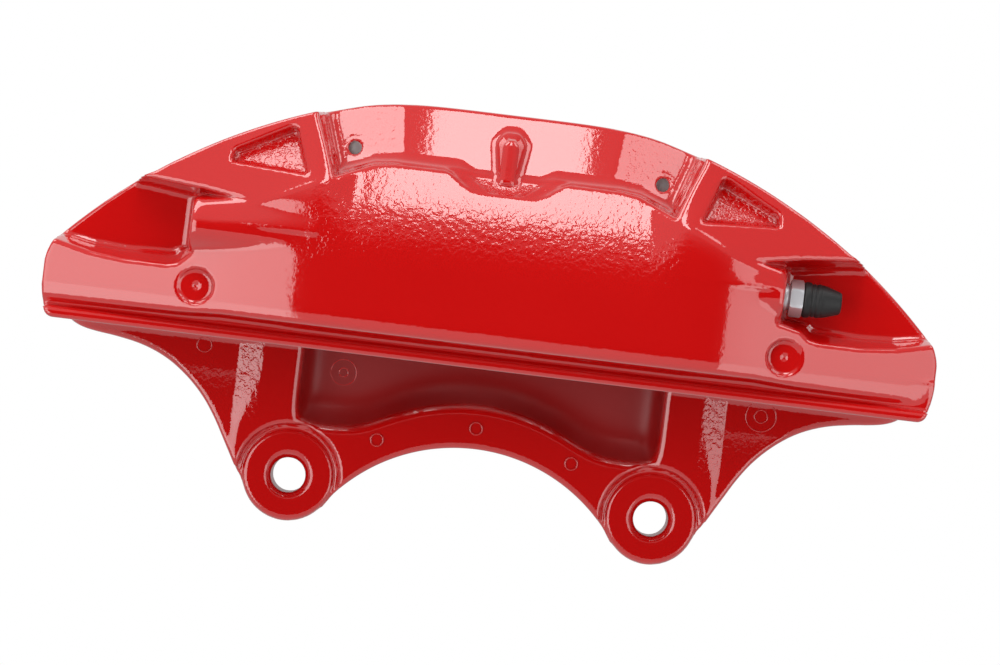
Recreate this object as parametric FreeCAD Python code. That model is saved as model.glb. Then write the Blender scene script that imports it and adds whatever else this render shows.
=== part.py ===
import FreeCAD, Part
import math
import os

from FreeCAD import Vector

# Fixed four-piston brake caliper, two bolted halves. Millimetres.
# X runs along the caliper, Y along the wheel axle (inboard is +Y), Z points away from the axle.
# The origin lies midway between the two lug bores, on the lugs' mounting face.

# --- the brake disc that the caliper straddles (not part of the object)
disc_radius = 175.0
disc_thickness = 32.0
disc_y = -43.0
disc_side_gap = 4.0
disc_rim_gap = 5.0

# --- overall housing
half_length = 151.7
bridge_wall = 23.5
top_flat_half = 39.0
end_height = 24.69
end_slope = 1.7
end_top_drop = 5.0
end_low_rise = 8.2
end_corner = 4.7
window_half = 62.0
pad_space = 17.0

# --- outboard half, front relief
flank_wall = 37.0
wing_step = 3.0
crest_step = 10.0
wing_low_rise = 4.2
wing_end_inset = 1.0
bulge_low_rise = 7.7
end_pocket_depth = 11.5
triangle_depth = 6.0
recess_rim_wall = 7.0
recess_foot_wall = 15.0
rib_half = 2.8
rib_top_z = 128.0
dimple_x = 99.5
dimple_z = 62.5
dimple_radius = 6.2
dimple_floor_radius = 1.8
dimple_depth = 3.0
recess_top_half = 64.5
recess_low_half = 57.0
recess_knee_z = 125.5
recess_foot_z = 118.0
recess_low_z = 112.5
pocket_roof_z = 94.3

# --- inboard half
body_back_y = 6.0
web_back_y = -4.0
lobe_wall = 9.0
crest_wall = 12.0
bay_low_radius = 100.0
web_relief = 2.5
web_edge_top = (142.0, 43.5)
web_edge_mid = (112.0, 36.0)
web_edge_low = (93.0, 17.0)
web_root_z = 60.0
web_toe_z = -4.0
web_heel_inset = 14.0
web_heel_z = -9.0
relief_x = (87.0, 150.0)
relief_z = (-4.0, 36.0)
hex_pocket_z = (74.5, 92.0)

# --- mounting lugs
lug_spacing = 130.0
lug_bore_radius = 6.2
lug_sink_radius = 7.8
lug_sink_depth = 1.6
lug_radius = 16.3
lug_face_y = -20.0
spot_radius = 18.5
arch_top_z = 17.1

# --- pistons, seals and boots
piston_x = 33.0
piston_z = 79.0
piston_inset = 29.6
bore_left = 40.0
bore_right = 44.0
bore_depth = 26.0
bore_clearance = 0.05
piston_length = 27.0
piston_proud = 2.5
piston_wall = 4.5
piston_cup_depth = 20.0
boot_groove_depth = 1.2
boot_groove_width = 1.6
boot_groove_start = 0.9
seal_section = 3.0
seal_width = 3.2
seal_from_floor = 6.0
seal_clearance = 0.05
boot_section = 3.2
boot_width = 2.6
boot_lip_clearance = 0.3
boot_fold_length = 1.4
boot_fold_share = 0.45

# --- bridge bolts and crossover
bolt_radius = 6.0
bolt_thread_clearance = 0.05
bolt_hole_clearance = 0.3
bolt_head_radius = 9.0
bolt_head_height = 12.0
bolt_head_clearance = 0.6
bolt_socket_flats = 10.0
bolt_socket_depth = 6.0
bolt_head_floor_y = -9.0
bolt_grip = 26.0
bolt_tip_room = 3.0
bolt_xs = (80.0, 128.0)
crossover_x = 104.0
passage_radius = 2.0
passage_turn = 2.0
passage_inset = 12.0
passage_lift = 3.0
oring_major = 4.3
oring_minor = 0.9
oring_squeeze_gap = 0.05

# --- bleeder screws and caps
bleeder_z = 82.8
bleeder_inset = 2.6
boss_radius = 9.0
boss_end_x = 97.0
blank_boss_end_x = 103.5
boss_root_x = 62.0
bleeder_thread_radius = 5.0
bleeder_clearance = 0.05
bleeder_thread_length = 20.0
bleeder_hole_tip_room = 2.0
bleeder_cone_length = 3.0
bleeder_cone_tip_radius = 2.2
bleeder_cross_radius = 1.0
bleeder_cross_from_tip = 7.0
bleeder_drill_from_tip = 6.0
bleeder_neck = 1.5
bleeder_hex_flats = 11.0
bleeder_hex_height = 5.0
nipple_radius = 3.2
nipple_barb_radius = 3.9
nipple_length = 10.5
nipple_barb_length = 4.5
nipple_barb_rise = 1.2
nipple_end_taper = 0.6
nipple_bore_radius = 1.2
cap_base_radius = 6.1
cap_tip_radius = 3.8
cap_length = 13.0
cap_base_length = 2.2
cap_waist_end = 4.6
cap_waist_depth = 0.9
cap_collar_start = 3.4
cap_collar_end = 6.0
cap_collar_depth = 0.2
cap_clearance = 0.15
cap_face_gap = 0.2
hex_room = 0.5

# --- pad pins and spring
pin_x = 52.5
pin_z = 115.6
pin_radius = 3.2
pin_clearance = 0.1
pin_in_outboard = 12.0
pin_head_proud = 1.0
pin_tip_gap = 1.0
drift_hole_radius = 2.25
sleeve_wall = 1.4
sleeve_length = 9.0
sleeve_gap = 0.05
sleeve_grip_gap = 0.03
sleeve_slit = 0.8
spring_thickness = 0.8
spring_half_width = 26.0
spring_arm_half = 8.0
spring_pin_gap = 0.3
spring_rise = 5.5
spring_flat_half = 34.0
spring_knee = 46.0
spring_end = 57.5

# --- hose port
port_radius = 4.5
port_boss_radius = 9.5
port_face_y = 24.0

# --- values that follow
slot_in_y = disc_y + disc_thickness / 2 + disc_side_gap
slot_out_y = disc_y - disc_thickness / 2 - disc_side_gap
slot_radius = disc_radius + disc_rim_gap
floor_in_y = disc_y + disc_thickness / 2 + pad_space
floor_out_y = disc_y - disc_thickness / 2 - pad_space
flank_y = slot_out_y - flank_wall
wing_y = flank_y - wing_step
crest_out_y = wing_y - crest_step
crest_in_y = floor_in_y + bore_depth + crest_wall
bridge_radius_out = slot_radius + bridge_wall
bridge_mid_radius = (slot_radius + bridge_radius_out) / 2
disc_axis_z = piston_z - (disc_radius - piston_inset)
end_x = half_length - end_slope
end_z = disc_axis_z + math.sqrt(bridge_radius_out ** 2 - end_x ** 2)
body_low_z = end_z - end_height
corner_x = half_length - end_corner
top_z = disc_axis_z + math.sqrt(bridge_radius_out ** 2 - top_flat_half ** 2)
SIDES = {"left": -1, "right": 1}
BORES = {"left": bore_left / 2, "right": bore_right / 2}
# for each half: bay floor, direction from the disc into the housing, split plane
HALVES = {"outboard": (floor_out_y, -1), "inboard": (floor_in_y, 1)}
# how far a cutting tool runs past the surface it opens, and a size larger than the housing
PAST = 1.0
FAR = 400.0


def at(x, z, y=0.0):
    """A point given as length, height and, last, place along the axle."""
    return Vector(x, y, z)


def fuse(first, *others):
    """One shape from many, with seams merged."""
    return first.multiFuse(list(others)).removeSplitter()


def prism(points, y_from, y_to):
    """A polygon in the XZ plane, pushed along Y."""
    corners = [at(x, z, y_from) for x, z in points]
    face = Part.Face(Part.makePolygon(corners + corners[:1]))
    return face.extrude(Vector(0, y_to - y_from, 0))


def rectangle(x_range, z_range):
    """The four corners of an upright rectangle."""
    (x_low, x_high), (z_low, z_high) = x_range, z_range
    return [(x_low, z_low), (x_low, z_high), (x_high, z_high), (x_high, z_low)]


def mirrored(points):
    """A right-hand outline closed by its own mirror image."""
    return list(points) + [(-x, z) for x, z in reversed(points)]


def rod_y(x, z, y_from, y_to, radius):
    """A cylinder along Y."""
    low = min(y_from, y_to)
    return Part.makeCylinder(radius, abs(y_to - y_from), at(x, z, low), Vector(0, 1, 0))


def rod_x(x_from, x_to, y, z, radius):
    """A cylinder along X."""
    low = min(x_from, x_to)
    return Part.makeCylinder(radius, abs(x_to - x_from), Vector(low, y, z), Vector(1, 0, 0))


def ring_y(x, z, y_from, y_to, inner, outer):
    """A plain ring along Y."""
    return rod_y(x, z, y_from, y_to, outer).cut(rod_y(x, z, y_from, y_to, inner))


def link(start, end, radius):
    """A drilled passage between two points."""
    return Part.makeCylinder(radius, (end - start).Length, start, end - start)


def hexagon_x(x_from, x_to, y, z, flats):
    """A hexagonal bar along X."""
    reach = flats / math.sqrt(3)
    turns = [math.radians(60 * k) for k in range(7)]
    corners = [Vector(x_from, y + reach * math.cos(t), z + reach * math.sin(t)) for t in turns]
    return Part.Face(Part.makePolygon(corners)).extrude(Vector(x_to - x_from, 0, 0))


def hexagon_y(x, z, y_from, y_to, flats):
    """A hexagonal bar along Y."""
    reach = flats / math.sqrt(3)
    turns = [math.radians(60 * k) for k in range(7)]
    corners = [at(x + reach * math.cos(t), z + reach * math.sin(t), y_from) for t in turns]
    return Part.Face(Part.makePolygon(corners)).extrude(Vector(0, y_to - y_from, 0))


def on_arc(x, radius=bridge_mid_radius):
    """Height of a point that lies at a radius from the disc's axis."""
    return disc_axis_z + math.sqrt(radius ** 2 - x ** 2)


def body_outline(y_from, y_to):
    """The arched outline that both halves share, pushed along Y."""
    end_top_z = end_z - end_top_drop
    end_low_z = body_low_z + end_low_rise
    mid_x = (top_flat_half + end_x) / 2
    edges = []
    for s in (1, -1):
        edges += [
            Part.Arc(at(s * top_flat_half, top_z, y_from),
                     at(s * mid_x, on_arc(mid_x, bridge_radius_out), y_from),
                     at(s * end_x, end_z, y_from)).toShape(),
            Part.makeLine(at(s * end_x, end_z, y_from), at(s * half_length, end_top_z, y_from)),
            Part.makeLine(at(s * half_length, end_top_z, y_from), at(s * half_length, end_low_z, y_from)),
            Part.makeLine(at(s * half_length, end_low_z, y_from), at(s * corner_x, body_low_z, y_from)),
        ]
    edges.append(Part.makeLine(at(-top_flat_half, top_z, y_from), at(top_flat_half, top_z, y_from)))
    edges.append(Part.makeLine(at(-corner_x, body_low_z, y_from), at(corner_x, body_low_z, y_from)))
    wire = Part.Wire(Part.__sortEdges__(edges))
    return Part.Face(wire).extrude(Vector(0, y_to - y_from, 0))


def disc_slot():
    """The space that the disc runs in."""
    return rod_y(0, disc_axis_z, slot_out_y, slot_in_y, slot_radius)


def window():
    """The pad window between the two bay floors, open at the top."""
    width = 2 * window_half
    depth = floor_in_y - floor_out_y
    corner = Vector(-window_half, floor_out_y, on_arc(0, bay_low_radius) - 60)
    return Part.makeBox(width, depth, 300, corner)


def bay_keep_out():
    """What of the inboard half lies nearer the axle than the pad bay does."""
    return rod_y(0, disc_axis_z, floor_in_y - FAR, floor_in_y + FAR, bay_low_radius)


def bolt_points():
    """The four bridge bolts, on the middle of the bridges."""
    return [(s * x, on_arc(x)) for s in (1, -1) for x in bolt_xs]


def bleeder_y(half):
    """The bleeder's axis lies a little short of the bore's end."""
    floor, way = HALVES[half]
    return floor + way * (bore_depth - bleeder_inset)


def bore_cut(half, side):
    """A piston bore with its seal groove and its boot seat."""
    floor, way = HALVES[half]
    x = SIDES[side] * piston_x
    radius = BORES[side]
    groove = floor + way * seal_from_floor
    bore = rod_y(x, piston_z, floor - way, floor + way * bore_depth, radius)
    seal = rod_y(x, piston_z, groove, groove + way * seal_width, radius + seal_section)
    seat = rod_y(x, piston_z, floor - way, floor + way * boot_width, radius + boot_section)
    return fuse(bore, seal, seat)


def passages(half):
    """Crossover drillings, the links to the bores and the gallery between the bores."""
    floor, way = HALVES[half]
    y = bleeder_y(half)
    cuts = []
    for s in (1, -1):
        x = s * crossover_x
        z = on_arc(crossover_x)
        turn = at(x, z, floor + way * passage_turn)
        bore = at(s * (piston_x + passage_inset), piston_z + passage_lift, floor + way * passage_inset)
        cuts.append(rod_y(x, z, disc_y, turn.y, passage_radius))
        cuts.append(link(turn, bore, passage_radius))
    cuts.append(rod_x(-piston_x, boss_end_x - bleeder_thread_length, y, bleeder_z, passage_radius))
    return cuts


def bleeder_hole(half):
    """The tapped hole of a bleeder screw, drilled in from the boss end."""
    y = bleeder_y(half)
    deep = boss_end_x - bleeder_thread_length - bleeder_hole_tip_room
    return rod_x(deep, boss_end_x + PAST, y, bleeder_z, bleeder_thread_radius)


def top_recess():
    """The tilted recess above the bulge on the outboard face."""
    plan = mirrored([(recess_top_half, top_z + 20), (recess_top_half, recess_knee_z),
                     (recess_low_half, recess_low_z), (recess_low_half, 96.0)])
    sheet = prism(plan, flank_y - 40, slot_out_y)
    rim_y = floor_out_y - recess_rim_wall
    foot_y = floor_out_y - recess_foot_wall
    profile = [
        (rim_y, top_z + 30), (rim_y, top_z - 1), (foot_y, recess_foot_z), (foot_y, 90.0),
        (flank_y - 45, 90.0), (flank_y - 45, top_z + 30),
    ]
    corners = [Vector(-100, y, z) for y, z in profile]
    tool = Part.Face(Part.makePolygon(corners + corners[:1])).extrude(Vector(200, 0, 0))
    return sheet.common(tool)


def bulge():
    """The cover over the two outboard bores, with a dip between its two lobes."""
    foot = [
        (7, 104), (14, 107), (20, 111.3), (38, 111.3), (50, 108), (58, 104), (84, 92),
        (95, body_low_z + bulge_low_rise),
    ]
    face = [(8, 99), (15, 102), (21, 106.5), (37, 106.5), (46, 103.5), (53, 99), (60, 90), (64, 60)]
    y_foot = floor_out_y - recess_foot_wall + 1
    wires = []
    for points, y in ((foot, y_foot), (foot, wing_y + 2), (face, crest_out_y)):
        ring = [at(x, z, y) for x, z in mirrored(points)]
        wires.append(Part.makePolygon(ring + ring[:1]))
    return Part.makeLoft(wires, True, True)


def wing(s):
    """One flat-faced end lobe of the outboard half."""
    tip_x = half_length - wing_end_inset
    low_z = body_low_z + wing_low_rise
    inner_x = boss_end_x if s > 0 else blank_boss_end_x
    plan = [
        (55, body_low_z + bulge_low_rise), (corner_x, low_z), (tip_x, low_z + 5),
        (tip_x, end_z - end_top_drop), (end_x - 2, end_z + 0.5), (end_x - 13, end_z - 2), (110, 68),
        (103, 72.5), (inner_x, 74), (inner_x, 92), (97, 94.5), (84, 93.5), (55, 96),
    ]
    return prism([(s * x, z) for x, z in plan], flank_y + 1, wing_y)


def face_pockets():
    """The triangular pockets and the end pockets in the outboard flank."""
    cuts = []
    for s in (1, -1):
        triangle = [(92, 106.5), (92, 111), (74, 120.3), (71, 119), (67, 105)]
        cuts.append(prism([(s * x, z) for x, z in triangle], flank_y + triangle_depth, flank_y - 30))
        start = boss_end_x if s > 0 else blank_boss_end_x
        end = [(start, 73), (start, pocket_roof_z), (120.5, 96), (170, 96), (170, 76), (144, 76), (106, 75)]
        cuts.append(prism([(s * x, z) for x, z in end], flank_y + end_pocket_depth, wing_y - 40))
    return cuts


def dimple(s):
    """A conical centre mark in a wing."""
    centre = at(s * dimple_x, dimple_z, wing_y)
    return Part.makeCone(dimple_radius, dimple_floor_radius, dimple_depth, centre, Vector(0, 1, 0))


def outboard_half():
    """The half away from the vehicle, with the visible face."""
    body = body_outline(disc_y, flank_y).cut(top_recess())
    rib = prism([(-rib_half, 100), (rib_half, 100), (rib_half, rib_top_z), (-rib_half, rib_top_z)],
                floor_out_y - recess_rim_wall, flank_y)
    body = fuse(body, wing(1), wing(-1))
    body = body.cut(Part.makeCompound(face_pockets()))
    y = bleeder_y("outboard")
    bosses = [rod_x(boss_root_x, boss_end_x, y, bleeder_z, boss_radius),
              rod_x(-boss_root_x, -blank_boss_end_x, y, bleeder_z, boss_radius)]
    body = fuse(body, bulge(), rib, *bosses)
    cuts = [disc_slot(), window(), dimple(1), dimple(-1), bleeder_hole("outboard")]
    cuts += [bore_cut("outboard", side) for side in SIDES]
    cuts += passages("outboard")
    for s in (1, -1):
        cuts.append(rod_y(s * pin_x, pin_z, floor_out_y + PAST, floor_out_y - pin_in_outboard,
                          pin_radius + pin_clearance))
        cuts.append(rod_y(s * pin_x, pin_z, floor_out_y, flank_y - 20, drift_hole_radius))
        z = on_arc(crossover_x)
        cuts.append(ring_y(s * crossover_x, z, disc_y, disc_y - 2 * oring_minor,
                           oring_major - oring_minor - oring_squeeze_gap,
                           oring_major + oring_minor + oring_squeeze_gap))
    tip_y = disc_y - bolt_grip - bolt_tip_room
    for x, z in bolt_points():
        cuts.append(rod_y(x, z, disc_y, tip_y, bolt_radius + bolt_thread_clearance))
    return body.cut(cuts)


def web():
    """The plate that carries the lugs."""
    edges = []
    hub = lug_spacing / 2
    lean = math.radians(-30)
    foot = (hub + lug_radius * math.cos(lean), lug_radius * math.sin(lean))
    root_x = web_edge_top[0]
    heel_x = hub - web_heel_inset
    start_y = slot_in_y
    for s in (1, -1):
        points = [(s * x, z) for x, z in (web_edge_top, web_edge_mid, web_edge_low)]
        vectors = [at(x, z, start_y) for x, z in points]
        edges.append(Part.Arc(*vectors).toShape())
        edge_foot = at(s * foot[0], foot[1], start_y)
        toe = at(s * hub, web_toe_z, start_y)
        edges.append(Part.makeLine(vectors[2], edge_foot))
        edges.append(Part.makeLine(edge_foot, toe))
        edges.append(Part.makeLine(toe, at(s * heel_x, web_heel_z, start_y)))
        edges.append(Part.makeLine(vectors[0], at(s * root_x, web_root_z, start_y)))
    edges.append(Part.makeLine(at(-root_x, web_root_z, start_y), at(root_x, web_root_z, start_y)))
    edges.append(Part.makeLine(at(-heel_x, web_heel_z, start_y), at(heel_x, web_heel_z, start_y)))
    face = Part.Face(Part.Wire(Part.__sortEdges__(edges)))
    return face.extrude(Vector(0, web_back_y - start_y, 0))


def arch_cut():
    """The arch between the lugs, tangent to both lug circles."""
    hub = lug_spacing / 2
    # centre height plus radius is the arch top, and the distance to a lug is both radii together
    reach = arch_top_z + lug_radius
    centre_z = (reach ** 2 - hub ** 2) / (2 * reach)
    return rod_y(0, centre_z, slot_in_y - 5, crest_in_y + 5, arch_top_z - centre_z)


def inboard_half():
    """The half that bolts to the knuckle."""
    lobes = [rod_y(SIDES[n] * piston_x, piston_z, floor_in_y, crest_in_y, BORES[n] + lobe_wall)
             for n in SIDES]
    y = bleeder_y("inboard")
    boss = rod_x(boss_root_x - 20, boss_end_x, y, bleeder_z, boss_radius)
    port = rod_y(0, bleeder_z, floor_in_y, port_face_y, port_boss_radius)
    lugs = [rod_y(s * lug_spacing / 2, 0, lug_face_y, 0, lug_radius) for s in (1, -1)]
    body = fuse(body_outline(disc_y, body_back_y), web(), *lobes, boss, port)
    spots = [rod_y(s * lug_spacing / 2, 0, slot_in_y - PAST, lug_face_y, spot_radius) for s in (1, -1)]
    body = body.cut(arch_cut()).cut(spots)
    body = fuse(body, *lugs)
    bay = window().cut(bay_keep_out())
    room_y = y - bleeder_hex_flats / math.sqrt(3) - hex_room
    room = prism(rectangle((boss_end_x, FAR), hex_pocket_z), room_y, crest_in_y + PAST)
    cuts = [disc_slot(), bay, room, bleeder_hole("inboard"),
            rod_y(0, bleeder_z, y, crest_in_y + PAST, port_radius),
            rod_y(0, bleeder_z, port_face_y, crest_in_y + PAST, port_boss_radius)]
    cuts += [bore_cut("inboard", side) for side in SIDES]
    cuts += passages("inboard")
    for s in (1, -1):
        hub = s * lug_spacing / 2
        cuts.append(rod_y(hub, 0, lug_face_y - PAST, PAST, lug_bore_radius))
        cuts.append(Part.makeCone(lug_sink_radius, lug_bore_radius, lug_sink_depth,
                                  at(hub, 0, lug_face_y), Vector(0, 1, 0)))
        cuts.append(rod_y(s * pin_x, pin_z, floor_in_y - PAST, body_back_y + PAST,
                          pin_radius + pin_clearance))
        cuts.append(rod_y(s * pin_x, pin_z, body_back_y - sleeve_length, crest_in_y,
                          pin_radius + sleeve_wall + sleeve_gap))
        relief = [(s * x, z) for x, z in rectangle(relief_x, relief_z)]
        cuts.append(prism(relief, slot_in_y - PAST, slot_in_y + web_relief))
    for x, z in bolt_points():
        cuts.append(rod_y(x, z, disc_y, body_back_y, bolt_radius + bolt_hole_clearance))
        cuts.append(rod_y(x, z, bolt_head_floor_y, body_back_y + 30, bolt_head_radius + bolt_head_clearance))
    return body.cut(cuts)


def bridge_bolt(x, z):
    """A socket-head bolt that pulls the halves together."""
    tip = disc_y - bolt_grip
    shank = rod_y(x, z, tip, bolt_head_floor_y, bolt_radius)
    head = rod_y(x, z, bolt_head_floor_y, bolt_head_floor_y + bolt_head_height, bolt_head_radius)
    top = bolt_head_floor_y + bolt_head_height
    socket = hexagon_y(x, z, top - bolt_socket_depth, top + PAST, bolt_socket_flats)
    return fuse(shank, head).cut(socket)


def bridge_bolts():
    """All four bridge bolts."""
    return Part.makeCompound([bridge_bolt(x, z) for x, z in bolt_points()])


def crossover_seals():
    """The O-rings round the fluid crossovers at the split."""
    rings = []
    for s in (1, -1):
        centre = at(s * crossover_x, on_arc(crossover_x), disc_y - oring_minor)
        rings.append(Part.makeTorus(oring_major, oring_minor, centre, Vector(0, 1, 0)))
    return Part.makeCompound(rings)


def piston(half, side):
    """A cup piston, open towards the pad, with a groove for the boot's lip."""
    floor, way = HALVES[half]
    x = SIDES[side] * piston_x
    radius = BORES[side] - bore_clearance
    front = floor - way * piston_proud
    back = front + way * piston_length
    body = rod_y(x, piston_z, front, back, radius)
    cup = rod_y(x, piston_z, front - way, front + way * piston_cup_depth, radius - piston_wall)
    start = front + way * boot_groove_start
    groove = ring_y(x, piston_z, start, start + way * boot_groove_width,
                    radius - boot_groove_depth, radius + PAST)
    return body.cut([cup, groove])


def piston_seal(half, side):
    """The square-section pressure seal."""
    floor, way = HALVES[half]
    start = floor + way * (seal_from_floor + seal_clearance)
    end = floor + way * (seal_from_floor + seal_width - seal_clearance)
    radius = BORES[side]
    return ring_y(SIDES[side] * piston_x, piston_z, start, end, radius,
                  radius + seal_section - seal_clearance)


def dust_boot(half, side):
    """The boot ring in its seat at the bore's mouth, with one fold towards the piston."""
    floor, way = HALVES[half]
    x = SIDES[side] * piston_x
    radius = BORES[side]
    seat = ring_y(x, piston_z, floor, floor + way * (boot_width - seal_clearance),
                  radius + boot_lip_clearance, radius + boot_section - seal_clearance)
    fold = ring_y(x, piston_z, floor - way * boot_fold_length, floor,
                  radius + boot_lip_clearance, radius + boot_section * boot_fold_share)
    return fuse(seat, fold)


def bleeder_screw(half):
    """A bleeder screw: cone tip, thread, hexagon and hose nipple, drilled through."""
    y = bleeder_y(half)
    z = bleeder_z
    along = Vector(1, 0, 0)
    radius = bleeder_thread_radius - bleeder_clearance
    tip = boss_end_x - bleeder_thread_length
    hex_start = boss_end_x + bleeder_neck
    hex_end = hex_start + bleeder_hex_height
    cone = Part.makeCone(bleeder_cone_tip_radius, radius, bleeder_cone_length, Vector(tip, y, z), along)
    thread = rod_x(tip + bleeder_cone_length, hex_start, y, z, radius)
    head = hexagon_x(hex_start, hex_end, y, z, bleeder_hex_flats)
    nipple_end = hex_end + nipple_length
    neck = rod_x(hex_end, nipple_end, y, z, nipple_radius)
    barb_start = nipple_end - nipple_barb_length
    barb_top = barb_start + nipple_barb_rise
    barb = Part.makeCone(nipple_radius, nipple_barb_radius, nipple_barb_rise,
                         Vector(barb_start, y, z), along)
    taper = Part.makeCone(nipple_barb_radius, nipple_radius - nipple_end_taper, nipple_end - barb_top,
                          Vector(barb_top, y, z), along)
    drill = rod_x(tip + bleeder_drill_from_tip, nipple_end + PAST, y, z, nipple_bore_radius)
    across = bleeder_thread_radius + PAST
    cross = Part.makeCylinder(bleeder_cross_radius, 2 * across,
                              Vector(tip + bleeder_cross_from_tip, y, z - across), Vector(0, 0, 1))
    return fuse(cone, thread, head, neck, barb, taper).cut([drill, cross])


def bleeder_cap(half):
    """The rubber cap that pushes over the nipple."""
    y = bleeder_y(half)
    start = boss_end_x + bleeder_neck + bleeder_hex_height + cap_face_gap
    along = Vector(1, 0, 0)
    collar_radius = cap_base_radius - cap_collar_depth
    collar_end = start + cap_collar_end
    base = rod_x(start, start + cap_base_length, y, bleeder_z, cap_base_radius)
    waist = rod_x(start, start + cap_waist_end, y, bleeder_z, cap_base_radius - cap_waist_depth)
    collar = rod_x(start + cap_collar_start, collar_end, y, bleeder_z, collar_radius)
    nose = Part.makeCone(collar_radius, cap_tip_radius, cap_length - cap_collar_end,
                         Vector(collar_end, y, bleeder_z), along)
    hollow = rod_x(start - PAST, start + nipple_length + cap_clearance, y, bleeder_z,
                   nipple_barb_radius + cap_clearance)
    return fuse(base, waist, collar, nose).cut(hollow)


def pad_pin(side):
    """A pad retaining pin, driven in from the inboard side."""
    s = SIDES[side]
    tip = floor_out_y - pin_in_outboard + pin_tip_gap
    end = body_back_y + pin_head_proud
    return rod_y(s * pin_x, pin_z, tip, end, pin_radius)


def pin_sleeve(side):
    """The split spring sleeve that grips a pin in its hole."""
    x = SIDES[side] * pin_x
    start = body_back_y - sleeve_length + sleeve_gap
    ring = ring_y(x, pin_z, start, body_back_y + pin_head_proud,
                  pin_radius + sleeve_grip_gap, pin_radius + sleeve_wall)
    slit = Part.makeBox(sleeve_slit, sleeve_length + 4, 10, Vector(x - sleeve_slit / 2, start - PAST, pin_z))
    return ring.cut(slit)


def pad_spring():
    """The sheet spring that spans the window below the two pins."""
    low = pin_z - pin_radius - spring_pin_gap - spring_thickness
    high = low + spring_rise
    line = [(spring_end, low), (spring_knee, low), (spring_flat_half, high),
            (-spring_flat_half, high), (-spring_knee, low), (-spring_end, low)]
    lifted = [(x, z + spring_thickness) for x, z in reversed(line)]
    sheet = prism(line + lifted, disc_y - spring_half_width, disc_y + spring_half_width)
    plate = Part.makeBox(2 * spring_flat_half, 2 * spring_half_width, 40,
                         Vector(-spring_flat_half, disc_y - spring_half_width, low - 10))
    arms = Part.makeBox(4 * spring_end, 2 * spring_arm_half, 40,
                        Vector(-2 * spring_end, disc_y - spring_arm_half, low - 10))
    return sheet.common(fuse(plate, arms))


def all_parts():
    """Every node's shape by its name."""
    parts = {
        "outboard_half": outboard_half(),
        "inboard_half": inboard_half(),
        "bridge_bolts": bridge_bolts(),
        "crossover_seals": crossover_seals(),
        "pad_spring": pad_spring(),
    }
    for half in HALVES:
        parts["bleeder_screw_" + half] = bleeder_screw(half)
        parts["bleeder_cap_" + half] = bleeder_cap(half)
        for side in SIDES:
            parts[f"piston_{half}_{side}"] = piston(half, side)
            parts[f"piston_seal_{half}_{side}"] = piston_seal(half, side)
            parts[f"dust_boot_{half}_{side}"] = dust_boot(half, side)
    for side in SIDES:
        parts["pad_pin_" + side] = pad_pin(side)
        parts["pin_sleeve_" + side] = pin_sleeve(side)
    return parts


os.makedirs("parts", exist_ok=True)
for name, shape in all_parts().items():
    box = shape.BoundBox
    print(f"{name:28s} solids {len(shape.Solids)} volume {shape.Volume:10.1f} valid {shape.isValid()} "
          f"x {box.XMin:.1f}..{box.XMax:.1f} y {box.YMin:.1f}..{box.YMax:.1f} "
          f"z {box.ZMin:.1f}..{box.ZMax:.1f}")
    shape.exportStep(f"parts/{name}.step")
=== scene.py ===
"""Looks of a fixed four-piston brake caliper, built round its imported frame."""
import itertools
import logging
import math
from dataclasses import dataclass, field
from enum import Enum
from typing import Sequence

import bmesh
import bpy
import numpy as np
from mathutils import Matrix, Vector


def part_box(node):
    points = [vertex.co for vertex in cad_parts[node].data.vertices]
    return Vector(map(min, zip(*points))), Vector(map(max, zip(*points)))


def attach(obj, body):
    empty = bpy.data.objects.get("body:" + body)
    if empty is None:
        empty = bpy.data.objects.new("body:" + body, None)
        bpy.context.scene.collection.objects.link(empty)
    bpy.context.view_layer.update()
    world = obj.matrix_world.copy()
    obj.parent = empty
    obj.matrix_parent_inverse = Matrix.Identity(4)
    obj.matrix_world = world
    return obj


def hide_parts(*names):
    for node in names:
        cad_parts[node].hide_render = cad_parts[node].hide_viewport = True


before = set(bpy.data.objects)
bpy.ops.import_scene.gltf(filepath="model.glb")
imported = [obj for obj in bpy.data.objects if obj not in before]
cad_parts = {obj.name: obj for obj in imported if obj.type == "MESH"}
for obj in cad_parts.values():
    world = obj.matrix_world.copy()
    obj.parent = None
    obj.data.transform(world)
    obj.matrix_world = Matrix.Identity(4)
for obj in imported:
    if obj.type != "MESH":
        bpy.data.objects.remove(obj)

LOG = logging.getLogger("caliper")
MM = 0.001
FULL_STEP = 0.8
HOUSING = "housing"
# Vertex numbers for the paint; the last one dulls the gloss and paints shade.
SKIN = ("cast", "machined", "dull_and_shade")
Plan = Sequence[tuple[float, float]]


class Side(Enum):
    """The two ends of the caliper, by the sign of X."""

    LEFT = -1
    RIGHT = 1


class Half(Enum):
    """The two halves, by the direction from the disc into the metal along Y."""

    OUTBOARD = -1
    INBOARD = 1


# --------------------------------------------------------------------------- signed distances


def round_min(a: np.ndarray, b: np.ndarray, radius: float | np.ndarray) -> np.ndarray:
    """Joins two signed distances with a concave fillet.

    Args:
        a: First distance, negative inside.
        b: Second distance.
        radius: Fillet radius in millimetres; 0 gives a sharp join.

    Returns:
        The distance of the joined shape.
    """
    if np.isscalar(radius) and radius <= 0:
        return np.minimum(a, b)
    near = np.hypot(np.maximum(radius - a, 0), np.maximum(radius - b, 0))
    return np.maximum(radius, np.minimum(a, b)) - near


def round_max(a: np.ndarray, b: np.ndarray, radius: float) -> np.ndarray:
    """Keeps what two signed distances share, with the edge rounded.

    Args:
        a: First distance, negative inside.
        b: Second distance.
        radius: Edge radius in millimetres; 0 gives a sharp edge.

    Returns:
        The distance of the shared shape.
    """
    if np.isscalar(radius) and radius <= 0:
        return np.maximum(a, b)
    return -round_min(-a, -b, radius)


def soft_max(width: float, *shapes: np.ndarray) -> np.ndarray:
    """Keeps what several signed distances share, with every edge melted over a width."""
    total = shapes[0] / width
    for shape in shapes[1:]:
        total = np.logaddexp(total, shape / width)
    return width * total


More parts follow.
